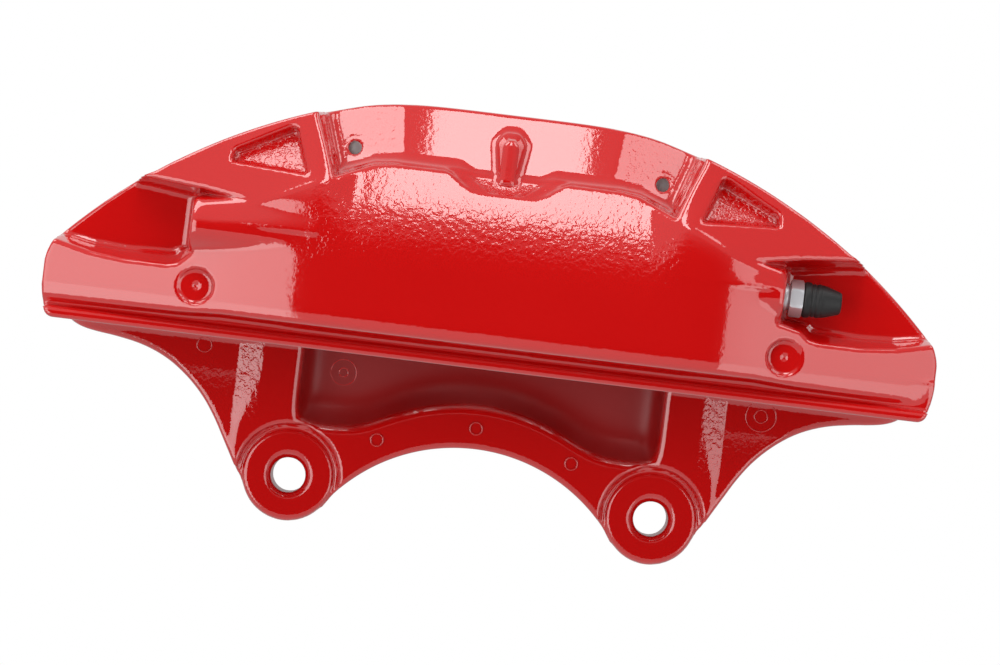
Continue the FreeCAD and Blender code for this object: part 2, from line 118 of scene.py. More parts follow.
def cut_corners(points: Plan, rounds: int = 2) -> list[tuple[float, float]]:
    """Turns a chain of points into a smooth curve by cutting its corners a few times."""
    line = np.array(points, dtype=float)
    for _ in range(rounds):
        a, b = line[:-1], line[1:]
        cut = np.stack([0.75 * a + 0.25 * b, 0.25 * a + 0.75 * b], axis=1).reshape(-1, 2)
        line = np.concatenate([line[:1], cut, line[-1:]])
    return [(float(x), float(z)) for x, z in line]


def fade(t: np.ndarray, start: float, end: float) -> np.ndarray:
    """A share that rises from 0 at start to 1 at end."""
    return np.clip((t - start) / (end - start), 0, 1)


def within(t: np.ndarray, low: float, high: float) -> np.ndarray:
    """Whether values lie between two limits."""
    return (t > low) & (t < high)


def ramp(t: np.ndarray, width: float) -> np.ndarray:
    """A line that starts at zero and bends in smoothly over a width."""
    return width * np.logaddexp(0, t / width)


def bend(t: np.ndarray, start: float, end: float) -> np.ndarray:
    """Height of a surface whose slope grows from 0 at start to 1 at end, and then stays."""
    return (np.maximum(t - start, 0) ** 2 - np.maximum(t - end, 0) ** 2) / (2 * (end - start))


def plan_distance(x: np.ndarray, z: np.ndarray, points: Plan) -> np.ndarray:
    """Signed distance to a closed outline in the XZ plane.

    Args:
        x: Lengths, in millimetres.
        z: Heights, in millimetres.
        points: Corners of the outline in order.

    Returns:
        Distances, negative inside the outline.
    """
    shape = np.broadcast(x, z).shape
    best = np.full(shape, 1e9, dtype=np.float32)
    inside = np.zeros(shape, dtype=bool)
    for (ax, az), (bx, bz) in zip(points, list(points[1:]) + [points[0]]):
        ex, ez = bx - ax, bz - az
        if ex == 0 and ez == 0:
            continue
        px, pz = x - ax, z - az
        t = np.clip((px * ex + pz * ez) / (ex * ex + ez * ez), 0, 1)
        best = np.minimum(best, (px - t * ex) ** 2 + (pz - t * ez) ** 2)
        if ez:
            crosses = ((az > z) != (bz > z)) & (x < ex * pz / ez + ax)
            inside ^= np.broadcast_to(crosses, shape)
    return np.where(inside, -1, 1) * np.sqrt(best)


def mirrored(points: Plan) -> list[tuple[float, float]]:
    """A right-hand outline closed by its own mirror image."""
    return list(points) + [(-x, z) for x, z in reversed(points)]


class CastField:
    """Metal as a signed distance on a regular grid, in millimetres.

    Shapes are joined and cut with radii, as on a foundry pattern, and the result becomes one mesh.
    """

    far: float = 60.0
    steepness_floor: float = 0.05
    steps_onto_surface: int = 3
    longest_step: float = 0.4

    def __init__(self, low: Sequence[float], high: Sequence[float], step: float) -> None:
        """Makes an empty block of space.

        Args:
            low: Lowest corner.
            high: Highest corner.
            step: Grid spacing.
        """
        self.step = step
        self.low = np.array(low, dtype=np.float64)
        lines = [np.arange(a, b + step, step, dtype=np.float32) for a, b in zip(low, high)]
        self.x = lines[0][:, None, None]
        self.y = lines[1][None, :, None]
        self.z = lines[2][None, None, :]
        self.value = np.full([len(line) for line in lines], self.far, dtype=np.float32)

    def add(self, shape: np.ndarray, fillet: float | np.ndarray = 0.0) -> None:
        """Joins a shape with a concave fillet."""
        self.value = round_min(self.value, shape, fillet).astype(np.float32)

    def cut(self, shape: np.ndarray, edge: float = 0.0) -> None:
        """Removes a shape and rounds the edge that is left."""
        self.value = round_max(self.value, -shape, edge).astype(np.float32)

    def keep(self, shape: np.ndarray, edge: float = 0.0) -> None:
        """Keeps only what lies inside a shape."""
        self.value = round_max(self.value, shape, edge).astype(np.float32)

    def plan(self, points: Plan) -> np.ndarray:
        """Signed distance to an outline in the XZ plane, on this grid."""
        return plan_distance(self.x, self.z, points)

    def behind(self, cap: np.ndarray) -> np.ndarray:
        """Signed distance of what lies at larger Y than a surface y = cap(x, z)."""
        cap = np.broadcast_to(cap, (self.x.shape[0], 1, self.z.shape[2]))
        gx = np.gradient(cap, self.step, axis=0) if cap.shape[0] > 1 else 0
        gz = np.gradient(cap, self.step, axis=2) if cap.shape[2] > 1 else 0
        return (cap - self.y) / np.sqrt(1 + gx * gx + gz * gz)

    def relief(self, points: Plan, cap: np.ndarray, edge: float, draft: float | np.ndarray,
               root: np.ndarray | None = None) -> np.ndarray:
        """A drafted block behind a surface.

        Args:
            points: Outline where the block meets its own surface.
            cap: Surface y = cap(x, z).
            edge: Radius between surface and wall.
            draft: How much wider it gets for each millimetre of depth.
            root: Smoother surface from which the draft is measured, if not the cap.

        Returns:
            Signed distance.
        """
        start = cap if root is None else root
        wall = (self.plan(points) - draft * (self.y - start)) / np.hypot(1, draft)
        return round_max(wall, self.behind(cap), edge)

    def rod_y(self, x: float, z: float, y_from: float, y_to: float, radius: float) -> np.ndarray:
        """A cylinder along Y."""
        side = np.hypot(self.x - x, self.z - z) - radius
        middle, half = (y_from + y_to) / 2, abs(y_to - y_from) / 2
        return np.maximum(side, np.abs(self.y - middle) - half)

    def rod_x(self, y: float, z: float, x_from: float, x_to: float, radius: float,
              edge: float = 0.0) -> np.ndarray:
        """A cylinder along X with rounded end edges."""
        side = np.hypot(self.y - y, self.z - z) - radius
        middle, half = (x_from + x_to) / 2, abs(x_to - x_from) / 2
        return round_max(side, np.abs(self.x - middle) - half, edge)

    def box(self, low: Sequence[float], high: Sequence[float]) -> np.ndarray:
        """A sharp box."""
        shape = None
        for line, a, b in zip((self.x, self.y, self.z), low, high):
            slab = np.abs(line - (a + b) / 2) - (b - a) / 2
            shape = slab if shape is None else np.maximum(shape, slab)
        return shape

    def slopes(self) -> list[np.ndarray]:
        """The metal's distance differentiated along X, Y and Z."""
        return [np.gradient(self.value, self.step, axis=a).astype(np.float32) for a in range(3)]

    def read(self, table: np.ndarray, points: np.ndarray) -> np.ndarray:
        """Reads a table between grid points.

        Args:
            table: One number for each grid point.
            points: Positions, one row each.

        Returns:
            One number for each position.
        """
        at = np.clip((points - self.low) / self.step, 0, np.array(table.shape) - 1.001)
        cell = at.astype(int)
        part = at - cell
        total = np.zeros(len(points))
        for corner in itertools.product((0, 1), repeat=3):
            weight = np.prod(np.where(corner, part, 1 - part), axis=1)
            total += weight * table[tuple((cell + corner).T)]
        return total

    def surface(self) -> tuple[np.ndarray, np.ndarray, np.ndarray]:
        """Finds the metal's surface.

        Returns:
            Vertices in millimetres, their normals, and quads as rows of four vertex numbers.
        """
        v = self.value
        inside = v < 0
        low = self.low
        offsets = list(itertools.product((0, 1), repeat=3))
        last = np.array(inside.shape) - 1
        corner = [inside[tuple(slice(o, n + o) for o, n in zip(offset, last))] for offset in offsets]
        count = sum(c.astype(np.int8) for c in corner)
        mixed = (count > 0) & (count < 8)
        cells = np.argwhere(mixed)
        number = np.full(mixed.shape, -1, dtype=np.int64)
        number[mixed] = np.arange(len(cells))
        total = np.zeros((len(cells), 3))
        hits = np.zeros(len(cells))
        for p in offsets:
            for axis in range(3):
                if p[axis]:
                    continue
                q = list(p)
                q[axis] = 1
                va = v[tuple((cells + p).T)]
                vb = v[tuple((cells + q).T)]
                crossing = (va < 0) != (vb < 0)
                t = np.where(crossing, va / np.where(crossing, va - vb, 1), 0)
                point = np.array(p, dtype=float)[None, :].repeat(len(cells), 0)
                point[:, axis] += t
                total += point * crossing[:, None]
                hits += crossing
        vertices = low + (cells + total / hits[:, None]) * self.step
        slopes = self.slopes()
        for _ in range(self.steps_onto_surface):
            value = self.read(v, vertices)
            slope = np.stack([self.read(s, vertices) for s in slopes], axis=1)
            size = np.maximum((slope ** 2).sum(axis=1), self.steepness_floor)
            move = -(value / size)[:, None] * slope
            reach = np.linalg.norm(move, axis=1, keepdims=True)
            vertices += move * np.minimum(1, self.longest_step * self.step / np.maximum(reach, 1e-9))
        normals = np.stack([self.read(s, vertices) for s in slopes], axis=1)
        normals /= np.maximum(np.linalg.norm(normals, axis=1, keepdims=True), 1e-6)
        quads = []
        for axis in range(3):
            u, w = [a for a in range(3) if a != axis]
            cut = [slice(None)] * 3
            shifted = [slice(None)] * 3
            cut[axis], shifted[axis] = slice(0, -1), slice(1, None)
            for other in (u, w):
                cut[other] = shifted[other] = slice(1, -1)
            a, b = inside[tuple(cut)], inside[tuple(shifted)]
            edges = np.argwhere(a != b)
            first = a[tuple(edges.T)]
            base = edges.copy()
            ring = []
            for du, dw in ((0, 0), (1, 0), (1, 1), (0, 1)):
                cell = base.copy()
                cell[:, u] += du
                cell[:, w] += dw
                ring.append(number[tuple(cell.T)])
            quad = np.stack(ring, axis=1)
            flip = first if axis != 1 else ~first
            quad[~flip] = quad[~flip][:, ::-1]
            quads.append(quad)
        faces = np.concatenate(quads)
        return vertices, normals, faces[(faces >= 0).all(axis=1)]


# --------------------------------------------------------------------------- meshes and materials


def mesh_object(name: str, vertices: np.ndarray, faces: np.ndarray) -> bpy.types.Object:
    """Makes a smooth object from vertices in millimetres."""
    mesh = bpy.data.meshes.new(name)
    mesh.vertices.add(len(vertices))
    mesh.vertices.foreach_set("co", (vertices * MM).astype(np.float32).ravel())
    corners = faces.shape[1]
    mesh.loops.add(faces.size)
    mesh.loops.foreach_set("vertex_index", faces.astype(np.int32).ravel())
    mesh.polygons.add(len(faces))
    mesh.polygons.foreach_set("loop_start", np.arange(0, faces.size, corners, dtype=np.int32))
    mesh.polygons.foreach_set("use_smooth", np.ones(len(faces), dtype=bool))
    mesh.update(calc_edges=True)
    mesh.validate()
    thing = bpy.data.objects.new(name, mesh)
    bpy.context.scene.collection.objects.link(thing)
    return thing


def paint_attribute(thing: bpy.types.Object, name: str, values: np.ndarray) -> None:
    """Stores one number on each vertex, for the materials to read."""
    attribute = thing.data.attributes.new(name, "FLOAT", "POINT")
    attribute.data.foreach_set("value", values.astype(np.float32))


class Nodes:
    """A short way to write shader trees."""

    def __init__(self, tree: bpy.types.NodeTree) -> None:
        """Wraps a node tree."""
        self.tree = tree

    def new(self, kind: str, inputs: dict | None = None, **settings: object) -> bpy.types.Node:
        """Adds a node.

        Args:
            kind: Node type without its ShaderNode prefix.
            inputs: Socket name or number to a value or a linked socket.
            **settings: Properties of the node.

        Returns:
            The new node.
        """
        node = self.tree.nodes.new("ShaderNode" + kind)
        for key, value in settings.items():
            setattr(node, key, value)
        for key, value in (inputs or {}).items():
            if isinstance(value, bpy.types.NodeSocket):
                self.tree.links.new(value, node.inputs[key])
            else:
                node.inputs[key].default_value = value
        return node

    def math(self, operation: str, a: object, b: object) -> bpy.types.NodeSocket:
        """Adds a Math node and returns its value."""
        return self.new("Math", {0: a, 1: b}, operation=operation).outputs[0]

    def mix(self, factor: object, a: object, b: object) -> bpy.types.NodeSocket:
        """Mixes two numbers."""
        return self.new("Mix", {"Factor": factor, "A": a, "B": b}).outputs[0]

    def mix_color(self, factor: object, a: object, b: object) -> bpy.types.NodeSocket:
        """Mixes two colours, each a linked socket or three numbers."""
        a, b = [c if isinstance(c, bpy.types.NodeSocket) else (*c, 1) for c in (a, b)]
        return self.new("Mix", {"Factor": factor, "A": a, "B": b}, data_type="RGBA").outputs["Result"]

    def map_range(self, value: bpy.types.NodeSocket, source: tuple[float, float] = (0.0, 1.0),
                  target: tuple[float, float] = (0.0, 1.0), kind: str = "LINEAR") -> bpy.types.NodeSocket:
        """Maps one range of numbers onto another."""
        ends = {"From Min": source[0], "From Max": source[1], "To Min": target[0], "To Max": target[1]}
        return self.new("MapRange", {"Value": value, **ends}, interpolation_type=kind).outputs[0]

    def noise(self, place: bpy.types.NodeSocket, scale: object, detail: float,
              roughness: float = 0.5) -> bpy.types.NodeSocket:
        """Adds a noise texture and returns its grey value."""
        return self.new("TexNoise", {"Vector": place, "Scale": scale, "Detail": detail,
                                     "Roughness": roughness}).outputs["Fac"]

    def dot(self, a: bpy.types.NodeSocket, b: object) -> bpy.types.NodeSocket:
        """The dot product of two vectors."""
        return self.new("VectorMath", {0: a, 1: b}, operation="DOT_PRODUCT").outputs["Value"]

    def finish(self, shader: bpy.types.Node, kind: str = "OutputMaterial") -> None:
        """Links a shader to a new output node."""
        self.tree.links.new(shader.outputs[0], self.new(kind).inputs[0])

    def group(self, tree: bpy.types.NodeTree, **inputs: object) -> bpy.types.Node:
        """Places a node group with its inputs set."""
        node = self.tree.nodes.new("ShaderNodeGroup")
        node.node_tree = tree
        for key, value in inputs.items():
            name = key.replace("_", " ")
            if isinstance(value, bpy.types.NodeSocket):
                self.tree.links.new(value, node.inputs[name])
            else:
                node.inputs[name].default_value = value
        return node


def new_material(name: str) -> tuple[bpy.types.Material, Nodes]:
    """Makes a material with an empty shader tree, and the writer of that tree."""
    made = bpy.data.materials.new(name)
    made.use_nodes = True
    made.node_tree.nodes.clear()
    return made, Nodes(made.node_tree)


def new_group(name: str, inputs: dict[str, tuple[str, object]], outputs: dict[str, str]) -> tuple:
    """Starts a shader node group.

    Args:
        name: Name of the group.
        inputs: Input name to socket type and default value.
        outputs: Output name to socket type.

    Returns:
        The group's tree, its node writer, its input node and its output node.
    """
    tree = bpy.data.node_groups.new(name, "ShaderNodeTree")
    for key, (kind, value) in inputs.items():
        socket = tree.interface.new_socket(key, in_out="INPUT", socket_type=kind)
        if value is not None:
            socket.default_value = value
    for key, kind in outputs.items():
        tree.interface.new_socket(key, in_out="OUTPUT", socket_type=kind)
    start = tree.nodes.new("NodeGroupInput")
    end = tree.nodes.new("NodeGroupOutput")
    return tree, Nodes(tree), start, end


FLOAT = "NodeSocketFloat"


@dataclass
class Effects:
    """Shader groups that several finishes share."""

    cast: bpy.types.NodeTree = field(init=False)
    wear: bpy.types.NodeTree = field(init=False)
    grain: bpy.types.NodeTree = field(init=False)

    def __post_init__(self) -> None:
        """Builds each group once."""
        self.cast = self.cast_skin()
        self.wear = self.edge_wear()
        self.grain = self.fine_grain()

    def cast_skin(self) -> bpy.types.NodeTree:
        """Hammered casting texture under paint, with a fine orange peel over all of it."""
        tree, n, start, end = new_group(
            "cast_skin",
            {"Lump Size": (FLOAT, 2.4), "Peel Size": (FLOAT, 1.1), "Lump": (FLOAT, 1.0),
             "Peel": (FLOAT, 0.05)},
            {"Height": FLOAT, "Cloud": FLOAT})
        place = n.new("TexCoord").outputs["Object"]
        lump_scale = n.math("DIVIDE", 1000.0, start.outputs["Lump Size"])
        peel_scale = n.math("DIVIDE", 1000.0, start.outputs["Peel Size"])
        lumps = n.noise(place, lump_scale, 2.5, 0.55)
        peel = n.noise(place, peel_scale, 1.0, 0.4)
        cloud = n.noise(place, 22.0, 2.0, 0.6)
        steep = n.map_range(lumps, (0.36, 0.66), kind="SMOOTHSTEP")
        high = n.math("MULTIPLY", steep, start.outputs["Lump"])
        skin = n.math("MULTIPLY", peel, start.outputs["Peel"])
        tree.links.new(n.math("ADD", high, skin), end.inputs["Height"])
        tree.links.new(cloud, end.inputs["Cloud"])
        return tree

    def edge_wear(self) -> bpy.types.NodeTree:
        """A mask of rubbed outer edges."""
        tree, n, start, end = new_group(
            "edge_wear", {"Reach": (FLOAT, 0.0006), "Break": (FLOAT, 420.0)}, {"Mask": FLOAT})
        bevel = n.new("Bevel", {"Radius": start.outputs["Reach"]}, samples=4)
        normal = n.new("NewGeometry").outputs["Normal"]
        turn = n.math("SUBTRACT", 1.0, n.dot(bevel.outputs[0], normal))
        place = n.new("TexCoord").outputs["Object"]
        broken = n.math("MULTIPLY", turn, n.noise(place, start.outputs["Break"], 3.0))
        tree.links.new(n.map_range(broken, (0.01, 0.09)), end.inputs["Mask"])
        return tree

    def fine_grain(self) -> bpy.types.NodeTree:
        """Fine surface grain with blotches, for rubber and metal."""
        tree, n, start, end = new_group(
            "fine_grain", {"Size": (FLOAT, 0.25), "Stretch": (FLOAT, 1.0)},
            {"Height": FLOAT, "Blotch": FLOAT})
        place = n.new("TexCoord").outputs["Object"]
        parts = n.new("SeparateXYZ", {0: place})
        pulled = n.math("MULTIPLY", parts.outputs[0], start.outputs["Stretch"])
        along = n.new("CombineXYZ", {0: pulled, 1: parts.outputs[1], 2: parts.outputs[2]}).outputs[0]
        scale = n.math("DIVIDE", 1000.0, start.outputs["Size"])
        tree.links.new(n.noise(along, scale, 3.0, 0.6), end.inputs["Height"])
        tree.links.new(n.noise(place, 90.0, 3.0, 0.6), end.inputs["Blotch"])
        return tree


@dataclass(frozen=True)
class RedPaint:
    """Gloss red paint over cast aluminium, bare and grey where it was machined after painting, with
    painted shade darkening the deep pad bay and the lug bores.
    """

    effects: Effects
    deep: tuple[float, float, float] = (0.60, 0.0036, 0.0036)
    bright: tuple[float, float, float] = (0.64, 0.0046, 0.0042)
    # Painted shade: the deep red that the pad bay and the lug bores darken towards.
    painted_shade: tuple[float, float, float] = (0.24, 0.002, 0.002)
    metal: tuple[float, float, float] = (0.42, 0.41, 0.40)
    bright_metal: tuple[float, float, float] = (0.55, 0.54, 0.52)
    gloss: tuple[float, float] = (0.045, 0.075)
    dull_rough: float = 0.42
    metal_rough: float = 0.34
    # How far that painted shade darkens the colour at full strength.
    shade_share: float = 0.7
    lump_depth: float = 0.00022
    coat: float = 1.0
    coat_ior: float = 1.6

    def material(self) -> bpy.types.Material:
        """Builds the paint.

        Returns:
            The material. It reads the vertex numbers cast, machined and dull.
        """
        made, n = new_material("gloss_red_paint")
        cast, machined, dull_and_shade = [n.new("Attribute", attribute_name=kind).outputs["Fac"] for kind in SKIN]
        skin = n.group(self.effects.cast, Lump_Size=1.9, Peel_Size=1.6, Lump=cast, Peel=0.035)
        tone = n.mix_color(skin.outputs["Cloud"], self.deep, self.bright)
        # Painted shade: the third vertex number darkens the colour towards a deep red.
        tone = n.mix_color(n.math("MULTIPLY", dull_and_shade, self.shade_share), tone, self.painted_shade)
        turned = n.group(self.effects.grain, Size=0.5, Stretch=1.0)
        bare = n.mix_color(turned.outputs["Blotch"], self.metal, self.bright_metal)
        cut = n.math("GREATER_THAN", machined, 0.5)
        color = n.mix_color(cut, tone, bare)
        rough = n.map_range(skin.outputs["Cloud"], target=self.gloss)
        rough = n.mix(cut, n.mix(dull_and_shade, rough, self.dull_rough), self.metal_rough)
        bump = n.new("Bump", {"Height": skin.outputs["Height"], "Distance": self.lump_depth,
                              "Strength": 1.0})
        glaze = n.math("SUBTRACT", self.coat, n.math("MAXIMUM", cut, dull_and_shade))
        shader = n.new("BsdfPrincipled", {"Base Color": color, "Roughness": rough, "Metallic": cut,
                                          "Normal": bump.outputs[0], "IOR": 1.6, "Coat Weight": glaze,
                                          "Coat IOR": self.coat_ior, "Coat Roughness": 0.03,
                                          "Coat Normal": bump.outputs[0]})
        n.finish(shader)
        return made


@dataclass(frozen=True)
class PlainFinish:
    """One of the small parts' finishes: metal or rubber with grain, blotches and worn edges."""

    name: str
    base: tuple[float, float, float]
    worn: tuple[float, float, float]
    rough: float
    metallic: float
    grain_size: float = 0.3
    stretch: float = 1.0
    depth: float = 0.00001
    wear_reach: float = 0.0004
    blotch: float = 0.82
    rough_spread: tuple[float, float] = (0.85, 1.2)

    def material(self, effects: Effects) -> bpy.types.Material:
        """Builds the finish from the shared effects."""
        made, n = new_material(self.name)
        grain = n.group(effects.grain, Size=self.grain_size, Stretch=self.stretch)
        wear = n.group(effects.wear, Reach=self.wear_reach)
        dark = tuple(c * self.blotch for c in self.base)
        tone = n.mix_color(grain.outputs["Blotch"], dark, self.base)
        color = n.mix_color(wear.outputs["Mask"], tone, self.worn)
        low, high = self.rough_spread
        rough = n.map_range(grain.outputs["Blotch"], target=(self.rough * low, self.rough * high))
        bump = n.new("Bump", {"Height": grain.outputs["Height"], "Distance": self.depth, "Strength": 1.0})
        n.finish(n.new("BsdfPrincipled", {"Base Color": color, "Roughness": rough,
                                          "Metallic": self.metallic, "Normal": bump.outputs[0]}))
        return made


# --------------------------------------------------------------------------- the two cast halves


@dataclass
class Disc:
    """The space of the brake disc that the housing straddles, in millimetres."""

    middle_y: float = -43.0
    axis_z: float = -66.4
    slot_out: float = -63.0
    slot_in: float = -23.0
    slot_radius: float = 180.0
    rim_radius: float = 203.5

    def from_axis(self, grid: CastField) -> np.ndarray:
        """Distance from the disc's axis."""
        return np.hypot(grid.x, grid.z - self.axis_z)

    def slot(self, grid: CastField) -> np.ndarray:
        """The running space of the disc."""
        middle, half = (self.slot_out + self.slot_in) / 2, (self.slot_in - self.slot_out) / 2
        return np.maximum(self.from_axis(grid) - self.slot_radius, np.abs(grid.y - middle) - half)


@dataclass
class Casting:
    """What both halves of the housing share: outline, bays, bores and bolt holes."""

    disc: Disc = field(default_factory=Disc)
    half_length: float = 151.7
    top_z: float = 133.32
    low_z: float = 46.35
    corner: float = 3.0
    window_half: float = 62.0
    piston_x: float = 33.0
    piston_z: float = 79.0
    bore_radii: dict[Side, float] = field(default_factory=lambda: {Side.LEFT: 20.0, Side.RIGHT: 22.0})
    bore_depth: float = 26.0
    seat: tuple[float, float] = (2.6, 3.2)
    bleeder_z: float = 82.8
    boss_radius: float = 9.4
    pin: tuple[float, float] = (52.5, 115.6)
    pin_hole: float = 3.3
    bolt_xs: tuple[float, float] = (80.0, 128.0)
    rim: float = 0.6
    end_swell: float = 0.9
    end_cut: tuple[float, float] = (0.84, 0.54)
    end_cut_rise: float = 3.4
    end_play: float = 0.1
    bore_lip: float = 3.6
    lead_in: float = 3.0
    pin_depth: float = 12.0
    slot_edge: float = 1.2
    seat_edge: float = 0.5
    split_edge: float = 0.5
    window_edge: float = 1.0
    screw_hole: float = 5.0
    far: float = 200.0

    def outline(self, grid: CastField) -> np.ndarray:
        """The arched outline seen along the axle."""
        a = np.abs(grid.x)
        arc = self.disc.from_axis(grid) - self.disc.rim_radius - self.end_swell * fade(a, 118, 123)
        top = round_max(arc, grid.z - self.top_z, self.corner)
        ends = round_max(top, a - self.half_length, 1.4 * self.corner)
        across, up = self.end_cut
        slant = (a - self.half_length) * across - (grid.z - self.low_z - self.end_cut_rise) * up
        ends = round_max(ends, slant, 1.6 * self.corner)
        return round_max(ends, self.low_z - grid.z, 0.8 * self.corner)

    def bolt_points(self) -> list[tuple[float, float]]:
        """The bridge bolts' places, halfway through the bridges."""
        radius = (self.disc.slot_radius + self.disc.rim_radius) / 2
        return [(s.value * x, self.disc.axis_z + math.sqrt(radius ** 2 - x ** 2))
                for s in Side for x in self.bolt_xs]

    def machine(self, grid: CastField, half: Half, floor: float) -> None:
        """Cuts what both halves have machined into them.

        Args:
            grid: The half's metal.
            half: Which half it is.
            floor: Y of its pad bay's floor.
        """
        way = half.value
        grid.keep(np.abs(grid.x) - self.half_length + self.end_play)
        grid.cut(self.disc.slot(grid), self.slot_edge)
        for side in Side:
            x, radius = side.value * self.piston_x, self.bore_radii[side]
            depth, width = self.seat
            top = floor - self.lead_in * way
            grid.cut(grid.rod_y(x, self.piston_z, top, floor + way * self.bore_depth, radius))
            seat = grid.rod_y(x, self.piston_z, top, floor + way * depth, radius + width)
            grid.cut(seat, self.seat_edge)
            grid.cut(grid.rod_y(side.value * self.pin[0], self.pin[1], floor - way,
                                floor + way * self.pin_depth, self.pin_hole))

    def bores(self, x: np.ndarray, z: np.ndarray) -> np.ndarray:
        """Whether points lie within a bore or its lip, seen along the axle."""
        found = np.zeros(len(x), dtype=bool)
        for side in Side:
            near = np.hypot(x - side.value * self.piston_x, z - self.piston_z)
            found |= near < self.bore_radii[side] + self.bore_lip
        return found


@dataclass
class OutboardHalf(Casting):
    """The half with the bulged face, away from the vehicle."""

    floor: float = -76.0
    crest: float = -112.95
    crown_from: float = 76.0
    crown_radius: float = 62.0
    roll_from: float = 60.5
    roll_radius: float = 30.0
    flank_from: dict[Side, float] = field(default_factory=lambda: {Side.LEFT: 35.0, Side.RIGHT: 60.0})
    flank_to: float = 100.0
    flank_slope: dict[Side, float] = field(default_factory=lambda: {Side.LEFT: 0.22, Side.RIGHT: 0.34})
    end_slope: dict[Side, float] = field(default_factory=lambda: {Side.LEFT: 0.13, Side.RIGHT: 0.165})
    recess_top: float = -85.5
    recess_slope: float = 0.62
    recess_foot: float = -100.5
    recess_crown: float = 0.001
    facet: tuple[float, float] = (0.963, 0.268)
    facet_x: float = 38.0
    pocket_y: float = -89.0
    lip_y: tuple[float, float] = (-97.0, -100.2)
    flange_z: float = 50.3
    lobe_low: float = 53.2
    boss_ends: dict[Side, float] = field(default_factory=lambda: {Side.LEFT: 103.5, Side.RIGHT: 97.0})
    boss_y: float = -99.8
    boss_taper: float = 0.055
    boss_root: float = 62.0
    screw_y: float = -99.4
    dimple: tuple[float, float, float] = (99.5, 62.5, 6.0)
    shoulder_slope: dict[Side, float] = field(default_factory=lambda: {Side.LEFT: 0.16, Side.RIGHT: 0.13})
    shoulder_rise: float = 0.35
    crease: tuple[tuple[float, float], tuple[float, float]] = ((58.0, 104.0), (83.5, 91.8))
    dip: Plan = ((7.0, 103.6), (10.0, 104.5), (14.0, 107.0), (17.5, 109.8), (20.5, 112.5))
    dip_slope: float = 0.9
    triangle: Plan = ((92.8, 105.6), (92.3, 110.6), (74.5, 120.2), (71.8, 119.6), (66.5, 104.3))
    floor_y: float = -97.8
    floor_slope: float = 0.62
    floor_outward: tuple[float, float] = (0.24, 0.13)
    drift_hole: float = 2.25
    foot_z: float = 60.0
    foot_fillet: Plan = ((54, 60), (1.2, 4.0))
    fillet_share: tuple[tuple[float, ...], ...] = ((11, 16, 66, 76), (0.2, 1.0, 1.0, 0.4))
    lobe_x: float = 70.0
    lobe_draft: float = 0.28
    foot_draft: float = 0.07
    face_draft: float = 0.18
    shelf_z: float = 104.0
    tray_depth: float = 0.9
    tray: Plan = ((5.4, 105.6), (12.2, 110.2))
    rib: Plan = ((2.3, 109.0), (2.3, 122.2), (1.0, 123.8))
    rib_y: float = -102.4
    rib_slope: float = 0.22
    rib_draft: float = 0.36
    boss_edge: float = 1.2
    boss_fillets: tuple[float, float] = (2.6, 0.7)
    pocket_draft: float = 0.14
    pocket_top_draft: float = 0.5
    dimple_depth: float = 2.0
    dimple_draft: float = 0.08
    centre_mark: tuple[float, float] = (0.9, 0.6)
    plain_skin: float = 0.02
    top_skin: float = 0.36
    top_loss: float = 0.72
    triangle_skin: float = 0.5
    tray_skin: float = 0.6
    recess_skin: float = 0.10
    pocket_skin: float = 0.03

    def face(self, x: np.ndarray, z: np.ndarray) -> np.ndarray:
        """Y of the main face: crest, flanks that fall to the end lobes, and a crowned top."""
        drop = 0.0
        for side in Side:
            start, along = self.flank_from[side], x * side.value
            slope, less = self.flank_slope[side], self.flank_slope[side] - self.end_slope[side]
            drop = drop + slope * bend(along, start, self.flank_to)
            drop = drop - less * bend(along, self.flank_to, self.flank_to + 8)
        aside = fade(np.abs(x), 48, 64)
        rise = ramp(z - self.crown_from - 10 * aside * aside * (3 - 2 * aside), 3.0)
        roll = ramp(self.roll_from - z, 1.0)
        crown = self.crest + drop + rise * rise / (2 * self.crown_radius)
        return crown + roll * roll / (2 * self.roll_radius)

    def shoulder(self, x: np.ndarray, z: np.ndarray) -> np.ndarray:
        """Y of the flat shoulders between the face and the arched rim."""
        (ax, az), _ = self.crease
        slope = np.where(x > 0, self.shoulder_slope[Side.RIGHT], self.shoulder_slope[Side.LEFT])
        foot = np.where(x > 0, self.face(ax, az), self.face(-ax, az))
        return foot + slope * (np.abs(x) - ax) + self.shoulder_rise * (z - az)

    def shelf(self, z: np.ndarray) -> np.ndarray:
        """Y of the sloping shelf in the dip."""
        edge = self.face(np.float32(0), np.float32(self.shelf_z))
        return edge + self.dip_slope * (z - self.shelf_z)

    def front(self, grid: CastField) -> np.ndarray:
        """Y of the whole front: the face, its dip, and the shoulders past the crease."""
        face = self.face(grid.x, grid.z)
        shelf = self.shelf(grid.z)
        into_dip = np.clip(0.5 - grid.plan(mirrored(self.dip)) / 1.6, 0, 1)
        face = face + into_dip * np.maximum(shelf - face, 0)
        (ax, az), (bx, bz) = self.crease
        length = math.hypot(bx - ax, bz - az)
        nx, nz = (az - bz) / length, (bx - ax) / length
        past = (np.abs(grid.x) - ax) * nx + (grid.z - az) * nz
        foot_x, foot_z = grid.x - np.sign(grid.x) * past * nx, grid.z - past * nz
        miss = self.face(foot_x, foot_z) - self.shoulder(foot_x, foot_z)
        flat = self.shoulder(grid.x, grid.z) + miss * np.exp(-np.abs(past) / 5.0)
        across = np.clip(0.5 + past / 1.2, 0, 1)
        across = across * across * (3 - 2 * across) * (np.abs(grid.x) > ax - 3) * (grid.z > 84)
        return face + across * (flat - face)

    def recess(self, x: np.ndarray, z: np.ndarray) -> np.ndarray:
        """Y of the tilted recess floor, which follows the rim in facets."""
        flat = self.top_z - z
        up, across = self.facet
        turned = flat * up - (np.abs(x) - self.facet_x) * across
        depth = self.recess_slope * np.minimum(flat, turned) - self.recess_crown * x * x
        return np.maximum(self.recess_top - depth, self.recess_foot)

